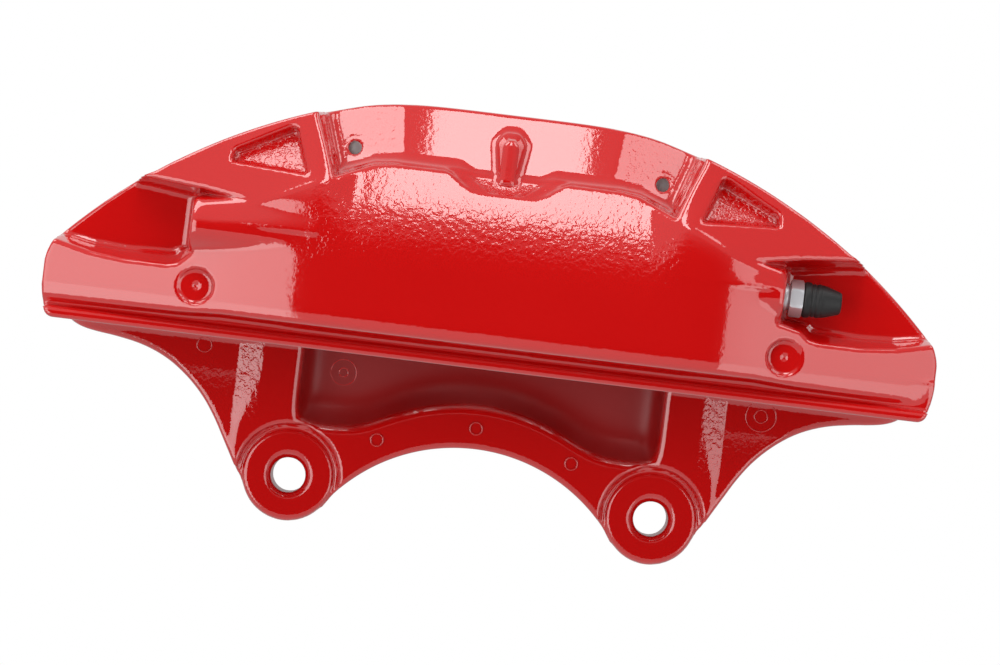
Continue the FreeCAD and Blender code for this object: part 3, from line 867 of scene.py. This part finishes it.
    def face_plan(self, side: Side) -> Plan:
        """Right-hand outline of everything in front of the recesses."""
        inner = self.boss_ends[side]
        return [
            (0, 111.3), (38, 111.3), (45, 110.3), (50, 108), (57.8, 104.2), (65.3, 123.5), (70, 150),
            (190, 150), (190, 98.2), (120, 97.3), (100, 95.4), (86, 93.3), (inner - 1.5, 91.0),
            (inner - 1.5, 73.6), (103.8, 71.8), (106.5, 69.4), (110, 68.6), (125, 68.6), (137, 69.8),
            (148, 72.3), (160, 76), (160, self.lobe_low - 1.2), (105, self.lobe_low),
            (90, self.lobe_low + 1), (0, self.lobe_low + 1),
        ]

    def pattern(self, grid: CastField) -> None:
        """Joins the cast shapes."""
        a = np.abs(grid.x)
        groove, flange = self.lip_y
        foot = grid.z < self.foot_z
        low = np.where(foot, np.where(grid.z < self.flange_z, flange, groove), self.pocket_y)
        deep = np.where((a < self.lobe_x) & ~foot, self.recess(grid.x, grid.z), low)
        grid.add(self.behind_steps(grid, deep))
        left = [(-x, z) for x, z in reversed(self.face_plan(Side.LEFT))]
        plan = list(self.face_plan(Side.RIGHT)) + left
        end_wall = (a > self.lobe_x) & (grid.z < 75)
        draft = np.where(end_wall, self.lobe_draft, self.face_draft)
        draft = np.where(foot, self.foot_draft, draft)
        fillet = np.interp(grid.z, *self.foot_fillet) * np.interp(a, *self.fillet_share)
        root = self.face(grid.x, grid.z)
        front = grid.relief(plan, self.front(grid), 1.2, draft, root)
        grid.add(front, np.maximum(fillet, 0.8))
        grid.keep(self.outline(grid), self.rim)
        self.dress_dip(grid)
        for side in Side:
            self.boss(grid, side)

    def behind_steps(self, grid: CastField, cap: np.ndarray) -> np.ndarray:
        """Distance along Y of what lies behind a stepped surface, its steps left as upright walls."""
        return np.broadcast_to(cap, (grid.x.shape[0], 1, grid.z.shape[2])) - grid.y

    def dress_dip(self, grid: CastField) -> None:
        """The sunken tray in the dip between the lobes, and the rib above it."""
        below = grid.y - self.shelf(grid.z) - self.tray_depth
        grid.cut(np.maximum(grid.plan(mirrored(self.tray)), below), 0.3)
        front = self.rib_y + self.rib_slope * (grid.z - 112.0)
        rib = grid.relief(mirrored(self.rib), front, 0.8, self.rib_draft)
        grid.add(np.maximum(rib, self.rib[0][1] - grid.z), 1.5)

    def boss(self, grid: CastField, side: Side) -> None:
        """The tapered boss of a bleeder screw, or its blank twin."""
        end, along = self.boss_ends[side], grid.x * side.value
        radius = self.boss_radius + self.boss_taper * (end - along)
        wall = np.hypot(grid.y - self.boss_y, grid.z - self.bleeder_z) - radius
        rod = round_max(wall, along - end, self.boss_edge)
        grid.add(np.maximum(rod, self.boss_root - along), np.where(grid.z > 84, *self.boss_fillets))

    def pockets(self, grid: CastField) -> None:
        """The textured triangles, the round marks and the small through holes."""
        for side in Side:
            s = side.value
            plan = [(s * x, z) for x, z in self.triangle]
            shoulder = self.shoulder(grid.x, grid.z)
            depth = grid.y - shoulder
            wall = (grid.plan(plan) + self.pocket_draft * depth) / 1.01
            (ax, az), (bx, bz) = self.triangle[1], self.triangle[2]
            top = (grid.z - az) * (ax - bx) + (s * grid.x - ax) * (bz - az)
            top = top / math.hypot(ax - bx, bz - az)
            wall = round_max(wall, (top + self.pocket_top_draft * depth) / 1.12, 1.0)
            grid.cut(round_max(wall, grid.y - self.triangle_floor(grid.x, grid.z), 0.8), 0.7)
            x, z, radius = self.dimple
            reach = np.hypot(grid.x - s * x, grid.z - z)
            floor = float(self.face(np.float32(s * x), np.float32(z))) + self.dimple_depth
            wall = reach - radius + self.dimple_draft * (grid.y - floor + self.dimple_depth)
            grid.cut(round_max(wall, grid.y - floor, 0.7), 0.4)
            radius, depth = self.centre_mark
            grid.cut(np.maximum(reach - radius, grid.y - floor - depth), 0.3)
            hole = grid.rod_y(s * self.pin[0], self.pin[1], self.floor, self.crest, self.drift_hole)
            grid.cut(hole, 0.5)

    def triangle_floor(self, x: np.ndarray, z: np.ndarray) -> np.ndarray:
        """Y of the textured floors of the triangular pockets."""
        outward = np.where(x < 0, *self.floor_outward)
        return self.floor_y + self.floor_slope * (z - 112.0) + outward * (np.abs(x) - 80.0)

    def build(self, step: float) -> CastField:
        """Builds the half's metal.

        Args:
            step: Grid spacing in millimetres.

        Returns:
            The finished field.
        """
        grid = CastField((-154, -115.5, 44), (154, -41.5, 136), step)
        self.pattern(grid)
        self.pockets(grid)
        grid.keep(grid.y - self.disc.middle_y, self.split_edge)
        self.machine(grid, Half.OUTBOARD, self.floor)
        half, far = self.window_half, self.far
        grid.cut(grid.box((-half, self.floor, -far), (half, far, far)), self.window_edge)
        end = self.boss_ends[Side.RIGHT]
        grid.cut(grid.rod_x(self.screw_y, self.bleeder_z, end - 8, end + 6, self.screw_hole))
        return grid

    def skin(self, points: np.ndarray) -> tuple[np.ndarray, np.ndarray, np.ndarray]:
        """Says where the metal is hammered and where it was machined; this half gets no loss of gloss and
        no painted shade.

        Args:
            points: Vertices in millimetres.

        Returns:
            The strength of the casting texture, 1 where bare, and the loss of gloss with painted shade,
            zero everywhere here.
        """
        x, y, z = points.T
        a = np.abs(x)
        near_face = y < self.face(x, z) + 2.0
        top = fade(z, 74, 90) * (1 - fade(a, 58, 66)) * near_face * (z < 111.6)
        cast = self.plain_skin + self.top_skin * top * (1 - self.top_loss * fade(z, 92, 104))
        inside = within(a, 66, 94) & (z > 104) & (z < 112 + 0.517 * (92 - a))
        triangle = inside & (np.abs(y - self.triangle_floor(x, z)) < 0.6)
        tray = (a < 13) & within(z, 104.5, 110.8) & (y > self.shelf(z) + 0.6) & (y < -98)
        floor = within(a, 40, 66) & (z > 112) & within(y, -97, -80)
        pocket = (a > 105) & within(y, -92, -84) & (z > 72)
        for place, strength in ((tray, self.tray_skin), (triangle, self.triangle_skin),
                                (floor, self.recess_skin), (pocket, self.pocket_skin)):
            cast = np.where(place, strength, cast)
        bore = self.bores(x, z) & within(y, -103, self.floor - 0.3)
        return cast, bore.astype(float), np.zeros(len(points))


@dataclass
class InboardHalf(Casting):
    """The half with the lugs, next to the vehicle."""

    floor: float = -10.0
    back: float = 6.0
    crest: float = 28.0
    web_front: float = -23.0
    web_back: float = -4.0
    wedge_slope: float = 0.33
    lug: tuple[float, float] = (65.0, 16.25)
    lug_front: float = -20.0
    lug_bore: float = 6.2
    lug_sink: float = 7.8
    spot: float = 18.4
    arch_top: float = 17.1
    bay_half: float = 65.2
    bay_low: float = 17.4
    hump_top: float = 31.0
    hump_radius: float = 65.0
    side_draft: float = 0.24
    lower_draft: float = 0.62
    bleeder_y: float = 13.4
    port: tuple[float, float, float] = (4.5, 9.5, 24.0)
    bolt_floor: float = -9.0
    bolt_head: float = 9.6
    pin_entry: float = 4.7
    corner_melt: float = 2.6
    lug_edge: float = 0.9
    lug_groove: tuple[float, float, float] = (0.4, 0.7, 0.9)
    screw_reach: tuple[float, float] = (88.0, 104.0)
    # Loss of gloss and painted shade inside the lug bores.
    hole_dull_and_shade: float = 0.9
    lobe_wall: float = 9.0
    lobe_draft: float = 0.12
    post_edge: Plan = ((5, 15, 35, 60), (85.0, 84.5, 78.5, 78.5))
    wedge_end: float = 87.0
    bleeder_boss: tuple[float, float] = (38.0, 97.0)
    plain_skin: float = 0.03
    top_skin: float = 0.3
    web_skin: float = 0.10

    def web_plan(self, grid: CastField) -> np.ndarray:
        """Outline of the plate that carries the lugs."""
        hub, radius = self.lug
        sweep = [(150.6, 60), (150.4, 49.5), (148.8, 46), (145.5, 43.9), (140, 42.6), (132, 41.8),
                 (122, 40.0), (113, 36.4), (105.5, 31.2), (99, 25), (93.5, 17.5), (88.5, 8.5),
                 (80.3, -5.6), (70, -8), (51.5, -9.6)]
        edge = grid.plan(mirrored(cut_corners(sweep)))
        lugs = np.hypot(np.abs(grid.x) - hub, grid.z) - radius + 0.8
        middle = ((self.arch_top + radius) ** 2 - hub ** 2) / (2 * (self.arch_top + radius))
        arch = np.hypot(grid.x, grid.z - middle) - (self.arch_top - middle)
        return round_min(np.maximum(edge, -arch), lugs, 2.0)

    def web_face(self, grid: CastField) -> np.ndarray:
        """Y of the web's outboard face: smooth posts, and a lower textured field outside them."""
        a = np.abs(grid.x)
        start = np.interp(grid.z, *self.post_edge)
        return self.web_front + self.wedge_slope * np.clip(a - start, 0, self.wedge_end - start)

    def bay(self, grid: CastField) -> np.ndarray:
        """The pad bay: upright sides, and a lower wall that rolls over a hump between two corners."""
        depth = grid.y - self.web_front
        hump = self.hump_radius - np.hypot(grid.x, grid.z - self.hump_top + self.hump_radius)
        drop = self.lower_draft * depth
        side = np.abs(grid.x) - self.bay_half + self.side_draft * depth
        walls = hump + drop, self.bay_low - grid.z + drop, side, grid.y - self.floor
        return soft_max(self.corner_melt, *walls) / 1.1

    def pattern(self, grid: CastField) -> None:
        """Joins the cast shapes."""
        outline = self.outline(grid)
        grid.add(round_max(outline, grid.y - self.back, 3.0))
        web = self.web_plan(grid)
        plate = round_max(web, grid.behind(self.web_face(grid)), 1.6)
        grid.add(round_max(plate, grid.y - self.web_back, 2.0), 2.0)
        for side in Side:
            x, radius = side.value * self.piston_x, self.bore_radii[side] + self.lobe_wall
            reach = np.hypot(grid.x - x, grid.z - self.piston_z) - radius
            lobe = (reach + self.lobe_draft * (grid.y - self.back)) / 1.01
            lobe = round_max(lobe, grid.y - self.crest, 4.0)
            grid.add(np.maximum(lobe, self.floor - grid.y), 6.0)
        start, end = self.bleeder_boss
        grid.add(grid.rod_x(self.bleeder_y, self.bleeder_z, start, end, self.boss_radius, 1.2), 4.0)
        hub, radius = self.lug
        for s in (1, -1):
            grid.cut(grid.rod_y(s * hub, 0, self.web_front - 5, self.lug_front, self.spot), 0.8)
            side = np.hypot(grid.x - s * hub, grid.z) - radius
            slab = np.abs(grid.y - self.lug_front / 2) + self.lug_front / 2
            grid.add(round_max(side, slab, self.lug_edge), 1.0)
            out, wide, deep = self.lug_groove
            groove = np.abs(side - out) - wide
            grid.cut(np.maximum(groove, np.abs(grid.y - self.lug_front) - deep), 0.3)

    def build(self, step: float) -> CastField:
        """Builds the half's metal.

        Args:
            step: Grid spacing in millimetres.

        Returns:
            The finished field.
        """
        grid = CastField((-154, -44.5, -18.5), (154, 30.5, 136), step)
        self.pattern(grid)
        grid.keep(self.disc.middle_y - grid.y, self.split_edge)
        self.machine(grid, Half.INBOARD, self.floor)
        grid.cut(np.maximum(self.bay(grid), grid.z - 60), 2.0)
        half, low = self.window_half, (-self.window_half, self.disc.middle_y - 5, 52)
        grid.cut(grid.box(low, (half, self.floor, self.far)), self.window_edge)
        hub = self.lug[0]
        for s in (1, -1):
            side = np.hypot(grid.x - s * hub, grid.z)
            grid.cut(side - self.lug_bore)
            grid.cut(np.maximum(side - self.lug_sink + (grid.y - self.lug_front), grid.y + 10))
            x, z = s * self.pin[0], self.pin[1]
            grid.cut(grid.rod_y(x, z, self.floor - 2, self.crest, self.pin_entry), 0.4)
        for x, z in self.bolt_points():
            grid.cut(grid.rod_y(x, z, self.bolt_floor, self.crest + 2, self.bolt_head), 0.8)
        radius, seat, face = self.port
        grid.cut(grid.rod_y(0, self.bleeder_z, face, self.crest + 5, seat), 0.6)
        grid.cut(grid.rod_y(0, self.bleeder_z, self.bleeder_y, self.crest + 5, radius), 0.5)
        grid.cut(grid.rod_x(self.bleeder_y, self.bleeder_z, *self.screw_reach, self.screw_hole))
        return grid

    def skin(self, points: np.ndarray) -> tuple[np.ndarray, np.ndarray, np.ndarray]:
        """Says where the metal is hammered, where it was machined, and where the gloss is dulled and
        shade is painted.

        Args:
            points: Vertices in millimetres.

        Returns:
            The strength of the casting texture, 1 where bare, and the loss of gloss with painted shade,
            which deepens into the pad bay and fills the lug bores.
        """
        x, y, z = points.T
        a = np.abs(x)
        cast = self.plain_skin + self.top_skin * fade(y, 4.5, 6.5) * (z > 20)
        low = (a > 79) & (z < 60) & (y < -12)
        cast = np.where(low, self.web_skin, cast)
        wedge = low & (a < 87) & (z > 4)
        cast = np.where(wedge, np.clip((z - 12) / 40, 0.05, 0.6), cast)
        bore = self.bores(x, z) & within(y, self.floor + 0.3, 17)
        near = np.hypot(a - self.lug[0], z)
        face = (near < self.lug[1]) & (y > -0.25)
        hole = (near < self.lug_bore + 0.4) & (y > -18.2)
        bay = (a < self.bay_half + 0.6) & within(z, self.bay_low - 2, 56) & (y < self.floor + 1)
        # Painted shade: the pad bay darkens and loses its gloss from 1.5 mm to 4 mm below the web face,
        # and the lug bores take a fixed share.
        dull_and_shade = fade(y - self.web_front, 1.5, 4.0) * bay
        dull_and_shade = np.where(hole, self.hole_dull_and_shade, dull_and_shade * (near > self.spot))
        port = (np.hypot(x, z - self.bleeder_z) < self.port[1] - 0.3) & (y > 12)
        return cast, (bore | face & ~hole | port).astype(float), dull_and_shade


# --------------------------------------------------------------------------- small parts


def turned(name: str, profile: Sequence[tuple[float, float]], centre: tuple[float, float],
           sides: int) -> bpy.types.Object:
    """Turns a profile round a line along X.

    Args:
        name: Name of the object.
        profile: Places along X with their radii; it closes on itself.
        centre: Y and Z of the line.
        sides: Facets round the part.

    Returns:
        The object.
    """
    return rings_object(name, [(x, np.full(sides, radius)) for x, radius in profile], centre)


def rings_object(name: str, rings: Sequence[tuple[float, np.ndarray]],
                 centre: tuple[float, float]) -> bpy.types.Object:
    """Joins rings round a line along X, the last one to the first.

    Args:
        name: Name of the object.
        rings: The place of each ring along X, and its radius at each turn.
        centre: Y and Z of the line.

    Returns:
        The object.
    """
    sides = len(rings[0][1])
    turns = full_turn(sides)
    vertices = [np.stack([np.full(sides, x), centre[0] + radius * np.cos(turns),
                          centre[1] + radius * np.sin(turns)], axis=1) for x, radius in rings]
    faces = []
    for r in range(len(rings)):
        nxt = (r + 1) % len(rings)
        for k in range(sides):
            j = (k + 1) % sides
            faces.append((r * sides + k, r * sides + j, nxt * sides + j, nxt * sides + k))
    thing = mesh_object(name, np.concatenate(vertices), np.array(faces))
    tidy_normals(thing)
    return thing


def full_turn(sides: int) -> np.ndarray:
    """Evenly spaced angles round a circle."""
    return np.linspace(0, 2 * math.pi, sides, endpoint=False)


def tidy_normals(thing: bpy.types.Object) -> None:
    """Merges doubled points and turns all faces outward."""
    work = bmesh.new()
    work.from_mesh(thing.data)
    bmesh.ops.remove_doubles(work, verts=work.verts, dist=1e-6)
    bmesh.ops.recalc_face_normals(work, faces=work.faces)
    work.to_mesh(thing.data)
    work.free()


def dress(thing: bpy.types.Object, body: str, material: bpy.types.Material) -> None:
    """Gives a piece its material and the body that it rides on."""
    thing.data.materials.clear()
    thing.data.materials.append(material)
    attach(thing, body)


@dataclass
class CastMarks:
    """Thin raised rings left by the ejector pins and date stamps, half sunk in the inboard half."""

    paint: bpy.types.Material
    rings: tuple[tuple[float, float, float, float], ...] = (
        (-35.0, 16.3, -23.0, 2.2), (-0.5, 24.5, -23.0, 2.2), (34.5, 16.2, -23.0, 2.2),
        (-50.0, 38.5, -10.0, 4.6), (-50.0, 38.5, -10.0, 1.6), (-100.0, 42.5, -20.2, 2.6),
        (99.5, 41.0, -20.2, 5.4), (99.5, 41.0, -20.2, 2.3))
    wire: float = 0.24

    def build(self) -> None:
        """Builds all rings as one piece."""
        turns, tube = full_turn(48), full_turn(8)
        points, faces = [], []
        for x, z, y, radius in self.rings:
            first = len(points)
            for turn in turns:
                for around in tube:
                    reach = radius + self.wire * math.cos(around)
                    points.append((x + reach * math.cos(turn), y + self.wire * math.sin(around) * 0.8,
                                   z + reach * math.sin(turn)))
            for i in range(len(turns)):
                for j in range(len(tube)):
                    i2, j2 = (i + 1) % len(turns), (j + 1) % len(tube)
                    corners = ((i, j), (i2, j), (i2, j2), (i, j2))
                    faces.append([first + a * len(tube) + b for a, b in corners])
        thing = mesh_object("cast_marks", np.array(points), np.array(faces))
        tidy_normals(thing)
        paint_attribute(thing, "cast", np.full(len(thing.data.vertices), 0.1))
        paint_attribute(thing, "machined", np.zeros(len(thing.data.vertices)))
        dress(thing, HOUSING, self.paint)


@dataclass
class Housing:
    """The two painted halves."""

    paint: bpy.types.Material
    step: float

    def build(self) -> None:
        """Meshes both halves and puts them in place of their frame nodes."""
        for name, half in (("outboard_half", OutboardHalf()), ("inboard_half", InboardHalf())):
            grid = half.build(self.step)
            vertices, normals, faces = grid.surface()
            thing = mesh_object("cast_" + name, vertices, faces)
            thing.data.normals_split_custom_set_from_vertices(normals.tolist())
            for kind, values in zip(SKIN, half.skin(vertices)):
                paint_attribute(thing, kind, values)
            dress(thing, HOUSING, self.paint)
            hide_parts(name)
            LOG.info("%s: %d points, %d faces", name, len(vertices), len(faces))


@dataclass
class Bleeder:
    """A bleeder screw with its rubber cap."""

    half: str
    steel: bpy.types.Material
    rubber: bpy.types.Material
    hex_start: float = 99.2
    hex_height: float = 4.3
    flats: float = 11.0
    thread_radius: float = 4.95
    thread_pitch: float = 1.0
    thread_depth: float = 0.45
    drill: float = 1.2
    tube: float = 3.2
    barb: float = 3.9
    collar: float = 4.1
    chamfer: tuple[float, float] = (0.45, 0.93)

    def centre(self) -> tuple[float, float]:
        """Y and Z of the screw's axis, from its frame node."""
        low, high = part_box("bleeder_screw_" + self.half)
        return ((low[1] + high[1]) / 2 / MM, (low[2] + high[2]) / 2 / MM)

    def build(self) -> None:
        """Builds the screw and the cap."""
        self.screw()
        self.cap()

    def screw(self) -> None:
        """Hexagon with turned chamfers on both ends, thread, neck and nipple."""
        y, z = self.centre()
        name = "bleeder_screw_" + self.half
        low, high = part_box(name)
        start, end = low[0] / MM, high[0] / MM
        root = self.thread_radius - self.thread_depth
        thread = [(start, self.drill), (start, 2.2), (start + 3.0, root)]
        x = start + 3.4
        while x < self.hex_start - 1.2:
            thread += [(x, root), (x + 0.45, self.thread_radius)]
            x += self.thread_pitch
        thread += [(self.hex_start - 0.6, self.collar), (self.hex_start + 0.1, self.collar),
                   (self.hex_start + 0.1, self.drill)]
        neck = self.hex_start + self.hex_height
        nipple = [(neck - 0.5, self.drill), (neck - 0.5, self.barb), (neck + 0.4, self.tube),
                  (end - 4.5, self.tube), (end - 3.3, self.barb), (end, 2.6), (end, self.drill)]
        for thing in (turned("screw_thread_" + self.half, thread, (y, z), 48),
                      turned("screw_nipple_" + self.half, nipple, (y, z), 48),
                      self.hexagon("screw_hexagon_" + self.half, y, z)):
            dress(thing, name, self.steel)
            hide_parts(name)

    def hexagon(self, name: str, y: float, z: float) -> bpy.types.Object:
        """A hexagon whose corners are turned off at both ends, with the screw's drilling."""
        turns = full_turn(72)
        folded = (turns + math.pi / 6) % (math.pi / 3) - math.pi / 6
        reach = self.flats / 2 / np.cos(folded)
        corner = self.flats / math.sqrt(3)
        drilled = np.full(len(turns), self.drill)
        inset, share = self.chamfer
        whole, cut = np.minimum(reach, corner * 1.0), np.minimum(reach, corner * share)
        rings = [(0, drilled), (0, cut), (inset, whole), (self.hex_height - inset, whole),
                 (self.hex_height, cut), (self.hex_height, drilled)]
        thing = rings_object(name, [(self.hex_start + x, radius) for x, radius in rings], (y, z))
        split = thing.modifiers.new("split", "EDGE_SPLIT")
        split.split_angle = math.radians(25)
        return thing

    def cap(self) -> None:
        """The moulded cap: base bead, waist, two ring beads and a tapered nose."""
        name = "bleeder_cap_" + self.half
        low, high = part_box(name)
        y, z = self.centre()
        start, length = low[0] / MM, (high[0] - low[0]) / MM
        radius = (high[2] - low[2]) / 2 / MM - 0.05
        shape = [(0.00, 0.70), (0.00, 0.95), (0.03, 1.00), (0.16, 1.00), (0.19, 0.955), (0.21, 0.90),
                 (0.23, 0.90), (0.25, 0.93), (0.30, 0.93), (0.315, 0.885), (0.335, 0.885), (0.35, 0.945),
                 (0.44, 0.945), (0.455, 0.90), (0.47, 0.90), (0.49, 0.92), (0.62, 0.86), (0.90, 0.655),
                 (0.96, 0.62), (0.99, 0.55), (1.00, 0.44), (1.00, 0.10)]
        inner = [(0.83, 0.10), (0.81, 0.665), (0.0, 0.67)]
        profile = [(start + t * length, r * radius) for t, r in shape + inner]
        cap = turned("rubber_cap_" + self.half, profile, (y, z), 96)
        smooth = cap.modifiers.new("smooth", "SUBSURF")
        smooth.levels = smooth.render_levels = 1
        dress(cap, name, self.rubber)
        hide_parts(name)


ZINC = PlainFinish("zinc_plated_steel", (0.74, 0.73, 0.76), (0.85, 0.85, 0.86), 0.42, 0.75)
CAP_RUBBER = PlainFinish("moulded_rubber", (0.011, 0.0105, 0.011), (0.024, 0.024, 0.024), 0.5, 0.0,
                         grain_size=0.35, depth=0.00003)
FRAME_FINISHES = (
    (PlainFinish("hard_anodised_piston", (0.30, 0.29, 0.27), (0.62, 0.61, 0.58), 0.32, 1.0,
                 grain_size=0.5, stretch=0.2, depth=0.00002), ("piston_inboard", "piston_outboard")),
    (PlainFinish("seal_rubber", (0.022, 0.022, 0.022), (0.05, 0.05, 0.05), 0.55, 0.0),
     ("piston_seal", "crossover_seals")),
    (PlainFinish("boot_rubber", (0.028, 0.027, 0.026), (0.06, 0.06, 0.06), 0.6, 0.0,
                 grain_size=0.4, depth=0.00003), ("dust_boot",)),
    (PlainFinish("black_oxide_bolt", (0.055, 0.055, 0.06), (0.30, 0.30, 0.30), 0.38, 0.9),
     ("bridge_bolts",)),
    (PlainFinish("ground_pin_steel", (0.72, 0.70, 0.69), (0.82, 0.82, 0.80), 0.34, 0.8,
                 grain_size=0.4, stretch=6.0), ("pad_pin",)),
    (PlainFinish("spring_sleeve_steel", (0.24, 0.22, 0.20), (0.5, 0.5, 0.48), 0.36, 1.0),
     ("pin_sleeve",)),
    (PlainFinish("stainless_sheet", (0.56, 0.55, 0.53), (0.75, 0.74, 0.72), 0.24, 1.0,
                 grain_size=0.5, stretch=0.12), ("pad_spring",)),
)


@dataclass
class SmallParts:
    """Frame nodes whose own shape stays, with a finish each."""

    effects: Effects

    def build(self) -> None:
        """Puts the finishes on the nodes."""
        for finish, starts in FRAME_FINISHES:
            material = finish.material(self.effects)
            for name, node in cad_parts.items():
                if name.startswith(starts):
                    node.data.materials.clear()
                    node.data.materials.append(material)
                    LOG.info("%s wears %s", name, finish.name)


# --------------------------------------------------------------------------- camera and light


@dataclass
class Studio:
    """White sweep, soft boxes and the camera."""

    eye: tuple[float, float, float] = (0.0038, -1.520, 0.0594)
    focal_px: float = 4219.0
    roll: float = 6.95
    image: tuple[int, int] = (1000, 665)
    sensor: float = 36.0
    aim: tuple[float, float, float] = (0.0, -0.09, 0.08)
    softboxes: tuple[tuple[str, tuple, tuple, float], ...] = (
        ("softbox_left", (-39.5, -3.5, 1.25), (1.00, 0.98), 1.58),
        ("softbox_right", (43.6, -3.5, 1.25), (0.92, 0.98), 1.05),
        ("softbox_top", (-0.8, 55.0, 1.25), (0.29, 0.78), 3.5),
        ("softbox_top_left", (-71.0, 55.0, 1.25), (0.70, 0.60), 2.5),
        ("softbox_top_right", (71.5, 55.0, 1.25), (0.66, 0.60), 1.7))
    plain_level: float = 0.45
    room_levels: tuple[float, float] = (0.16, 0.46)
    right_level: float = 0.68
    behind_level: float = 0.06
    mirrored_sweep: float = 0.65
    floor_size: float = 20.0
    floor_z: float = -1.5
    floor_grey: tuple[float, float, float] = (0.80, 0.80, 0.80)
    floor_glow: float = 0.85
    mirrored_floor: float = 0.35

    def build(self) -> None:
        """Builds everything that isn't the object."""
        self.camera()
        self.world()
        for name, bearing, size, radiance in self.softboxes:
            self.softbox(name, bearing, size, radiance)
        bpy.context.scene.view_settings.view_transform = "Standard"
        self.backdrop()

    def camera(self) -> None:
        """A long lens, level with the caliper and rolled a little."""
        data = bpy.data.cameras.new("camera")
        data.sensor_width = self.sensor
        data.lens = self.focal_px * self.sensor / self.image[0]
        data.clip_end = 20.0
        camera = bpy.data.objects.new("camera", data)
        camera.location = self.eye
        camera.rotation_euler = (math.radians(90), math.radians(-self.roll), 0)
        bpy.context.scene.collection.objects.link(camera)
        bpy.context.scene.camera = camera

    def softbox(self, name: str, bearing: tuple[float, float, float], size: tuple[float, float],
                radiance: float) -> None:
        """A rectangular lamp that faces the caliper.

        Args:
            name: Name of the lamp.
            bearing: Degrees to the right of the camera, degrees up, and metres from the caliper.
            size: Width and height.
            radiance: Brightness of its face, where 1 renders white.
        """
        data = bpy.data.lights.new(name, "AREA")
        data.shape = "RECTANGLE"
        data.size, data.size_y = size
        data.energy = radiance * 4 * size[0] * size[1]
        lamp = bpy.data.objects.new(name, data)
        across, up = math.radians(bearing[0]), math.radians(bearing[1])
        level = math.cos(up)
        aim = Vector((-math.sin(across) * level, math.cos(across) * level, -math.sin(up)))
        lamp.location = Vector(self.aim) - aim * bearing[2]
        lamp.rotation_euler = aim.to_track_quat("-Z", "Y").to_euler()
        bpy.context.scene.collection.objects.link(lamp)

    def mirror(self, n: Nodes, path: bpy.types.Node, share: object) -> bpy.types.NodeSocket:
        """1 for rays of the camera, and a share for those that were mirrored or refracted."""
        bent = n.math("MAXIMUM", path.outputs["Is Glossy Ray"], path.outputs["Is Transmission Ray"])
        return n.math("MAXIMUM", path.outputs["Is Camera Ray"], n.math("MULTIPLY", bent, share))

    def world(self) -> None:
        """Room light: white to the camera, grey in reflections, darkest behind the camera."""
        world = bpy.data.worlds.new("room")
        bpy.context.scene.world = world
        world.use_nodes = True
        world.node_tree.nodes.clear()
        n = Nodes(world.node_tree)
        way = n.new("TexCoord").outputs["Generated"]
        parts = n.new("SeparateXYZ", {0: way})
        toward = n.dot(way, (0.0, -1.0, 0.0))
        room = n.map_range(parts.outputs[2], (-0.5, 0.3), self.room_levels, "SMOOTHSTEP")
        side = n.map_range(parts.outputs[0], (-0.3, 0.3), (1.0, self.right_level))
        away = n.map_range(toward, (0.84, 0.965), (1.0, self.behind_level), "SMOOTHSTEP")
        shaped = n.math("MULTIPLY", n.math("MULTIPLY", room, side), away)
        path = n.new("LightPath")
        dark = n.mix(path.outputs["Is Glossy Ray"], self.plain_level, shaped)
        sweep = n.map_range(toward, (-0.25, -0.6), kind="SMOOTHSTEP")
        seen = self.mirror(n, path, n.math("MULTIPLY", sweep, self.mirrored_sweep))
        strength = n.mix(seen, dark, 1.0)
        shade = n.new("Background", {"Color": (1, 1, 1, 1), "Strength": strength})
        n.finish(shade, "OutputWorld")

    def backdrop(self) -> None:
        """A pale floor well below the caliper."""
        bpy.ops.mesh.primitive_plane_add(size=self.floor_size, location=(0, 0, self.floor_z))
        floor = bpy.context.object
        floor.name = "floor"
        made, n = new_material("floor_white")
        matt = n.new("BsdfPrincipled", {"Base Color": (*self.floor_grey, 1), "Roughness": 0.9})
        glow = n.new("Emission", {"Color": (1, 1, 1, 1), "Strength": 1.0})
        seen = self.mirror(n, n.new("LightPath"), self.mirrored_floor)
        share = n.math("MULTIPLY", seen, self.floor_glow)
        n.finish(n.new("MixShader", {0: share, 1: matt.outputs[0], 2: glow.outputs[0]}))
        floor.data.materials.append(made)


def main() -> None:
    """Builds every sub-assembly in order."""
    logging.basicConfig(level=logging.INFO, format="%(name)s: %(message)s")
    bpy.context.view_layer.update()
    Studio().build()
    effects = Effects()
    paint = RedPaint(effects).material()
    Housing(paint, FULL_STEP).build()
    CastMarks(paint).build()
    steel, rubber = ZINC.material(effects), CAP_RUBBER.material(effects)
    for half in ("outboard", "inboard"):
        Bleeder(half, steel, rubber).build()
    SmallParts(effects).build()


if __name__ == "__main__":
    main()
